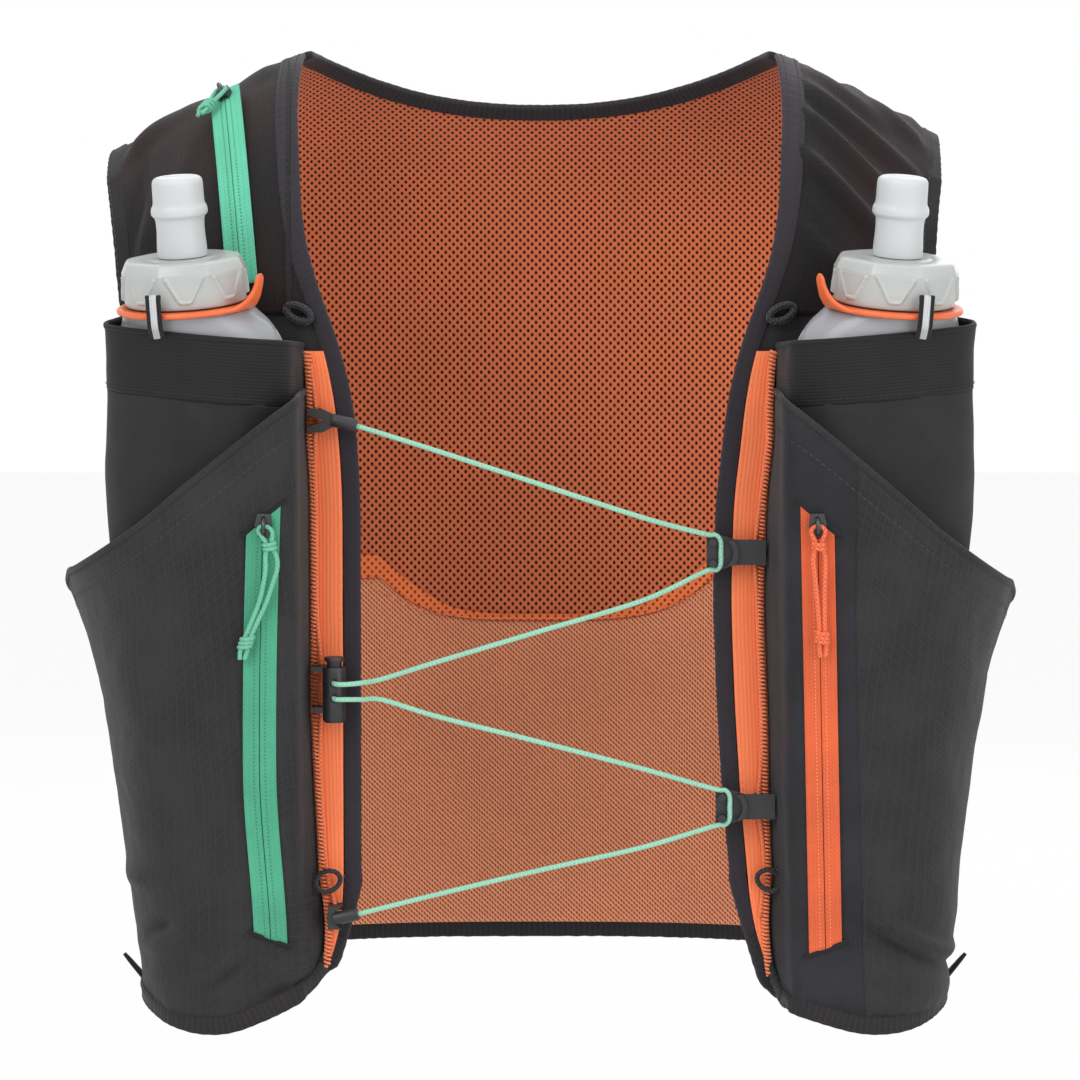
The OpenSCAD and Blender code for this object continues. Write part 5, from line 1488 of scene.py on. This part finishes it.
def chest_route():
    upper, lower = (round_post(float(table(z, EDGE["right"])) - 1, z) for z in HOOKS["right"])
    route = [(-80, 57), (-72, 55), (-40, 45), (0, 32), (40, 19)] + upper + [(40, -14), (0, -26), (-40, -38)]
    route += strand(1) + strand(-1)[::-1] + [(-40, -60), (0, -70), (40, -80.5)] + lower
    route += [(40, -112), (0, -121), (-40, -130.5), (-70, -138), (-77, -139.5)]
    return np.array([[p[0], p[2] if len(p) > 2 else CHEST_Y, p[1]] for p in route], float)


def dressed(node, mat):
    """A rigid solid kept as it is, with a material of its own."""
    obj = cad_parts[node]
    obj.data.materials.clear()
    obj.data.materials.append(MAT[mat])
    return obj


def soften(node, mat, width):
    """A rigid solid with its edges rounded."""
    obj = dressed(node, mat)
    weld = obj.modifiers.new("weld", "WELD")
    weld.merge_threshold = 0.00001
    edge = obj.modifiers.new("edges", "BEVEL")
    edge.width = width * MM
    edge.segments = 2
    edge.limit_method = "ANGLE"
    edge.angle_limit = math.radians(38)
    edge.use_clamp_overlap = True


HARDWARE = {
    ("black_plastic", 0.35): ("top_hook_left", "top_hook_right", "bottom_hook_left", "bottom_hook_right"),
    ("black_plastic", 0.3): ("cord_lock_barrel",),
    ("grey_plastic", 0.3): ("cord_lock_plunger",),
    ("steel", 0.02): ("cord_lock_spring",),
    ("slider", 0.25): ("pocket_zip_slider_left", "pocket_zip_slider_right", "shoulder_zip_slider"),
}


def closure():
    path = curve_through(chest_route(), 620)
    cord = sweep("chest_cord_braid", path, carried(path, [0, 1, 0]), ring(1.0, 12), "mint_cord",
                 node="chest_cord")
    free_cord(cord, path, 0.002, "object", "taut")
    for (mat, width), nodes in HARDWARE.items():
        for node in nodes:
            soften(node, mat, width)


CORD_LOOP_X = {"left": 84.0, "right": 91.0}
TAB_SHIFT = {"left": 0, "right": 4}
SIDE_TAB = np.array([[161.4, -57, -173.2], [164.6, -57, -169.4], [167.6, -57, -165.8], [169.2, -57, -163.9]])


def cord_ring(name, side, oval, lean, x, z, off, r):
    """A closed loop of black cord standing off the front."""
    loop = xyz(*oval) @ turned("Y", lean).T + [x, float(front_y(x, z)) - off, z]
    sweep(f"{name}_{side}_cord", flip(loop, side), [0, 1, 0], ring(r), "black_cord", closed=True,
          node=f"{name}_{side}")


def loops_and_tabs():
    a = circle(60)
    neck_oval = [5.2 * np.cos(a), -2.6 * np.abs(np.sin(a / 2)), 2.7 * np.sin(a)]
    hem_oval = [5.0 * np.cos(a), 0.8 * np.sin(2 * a), 4.0 * np.sin(a)]
    wide = table(np.linspace(0, 1, 30), [(0, 1.0), (0.7, 0.55), (1, 0.12)], 0.04)
    for side in SIDES:
        cord_ring("tube_loop", side, neck_oval, -25, 95, 99, 2.6, 1.3)
        cord_ring("cord_loop", side, hem_oval, 25, CORD_LOOP_X[side], -126, 9.4, 1.0)
        path = curve_through(SIDE_TAB + [TAB_SHIFT[side], 0, 0], len(wide))
        sweep(f"side_tab_{side}_tape", flip(path, side), flip([-0.766, 0, 0.643], side), tape(9, 1.4, 5),
              "black_tape", node=f"side_tab_{side}", scale=np.stack([wide, 0 * wide + 1], 1))


for build in (back_meshes, back_outside, bindings, fronts, flask_pockets, lower_pockets, strips, flasks, zips,
              closure, loops_and_tabs):
    build()
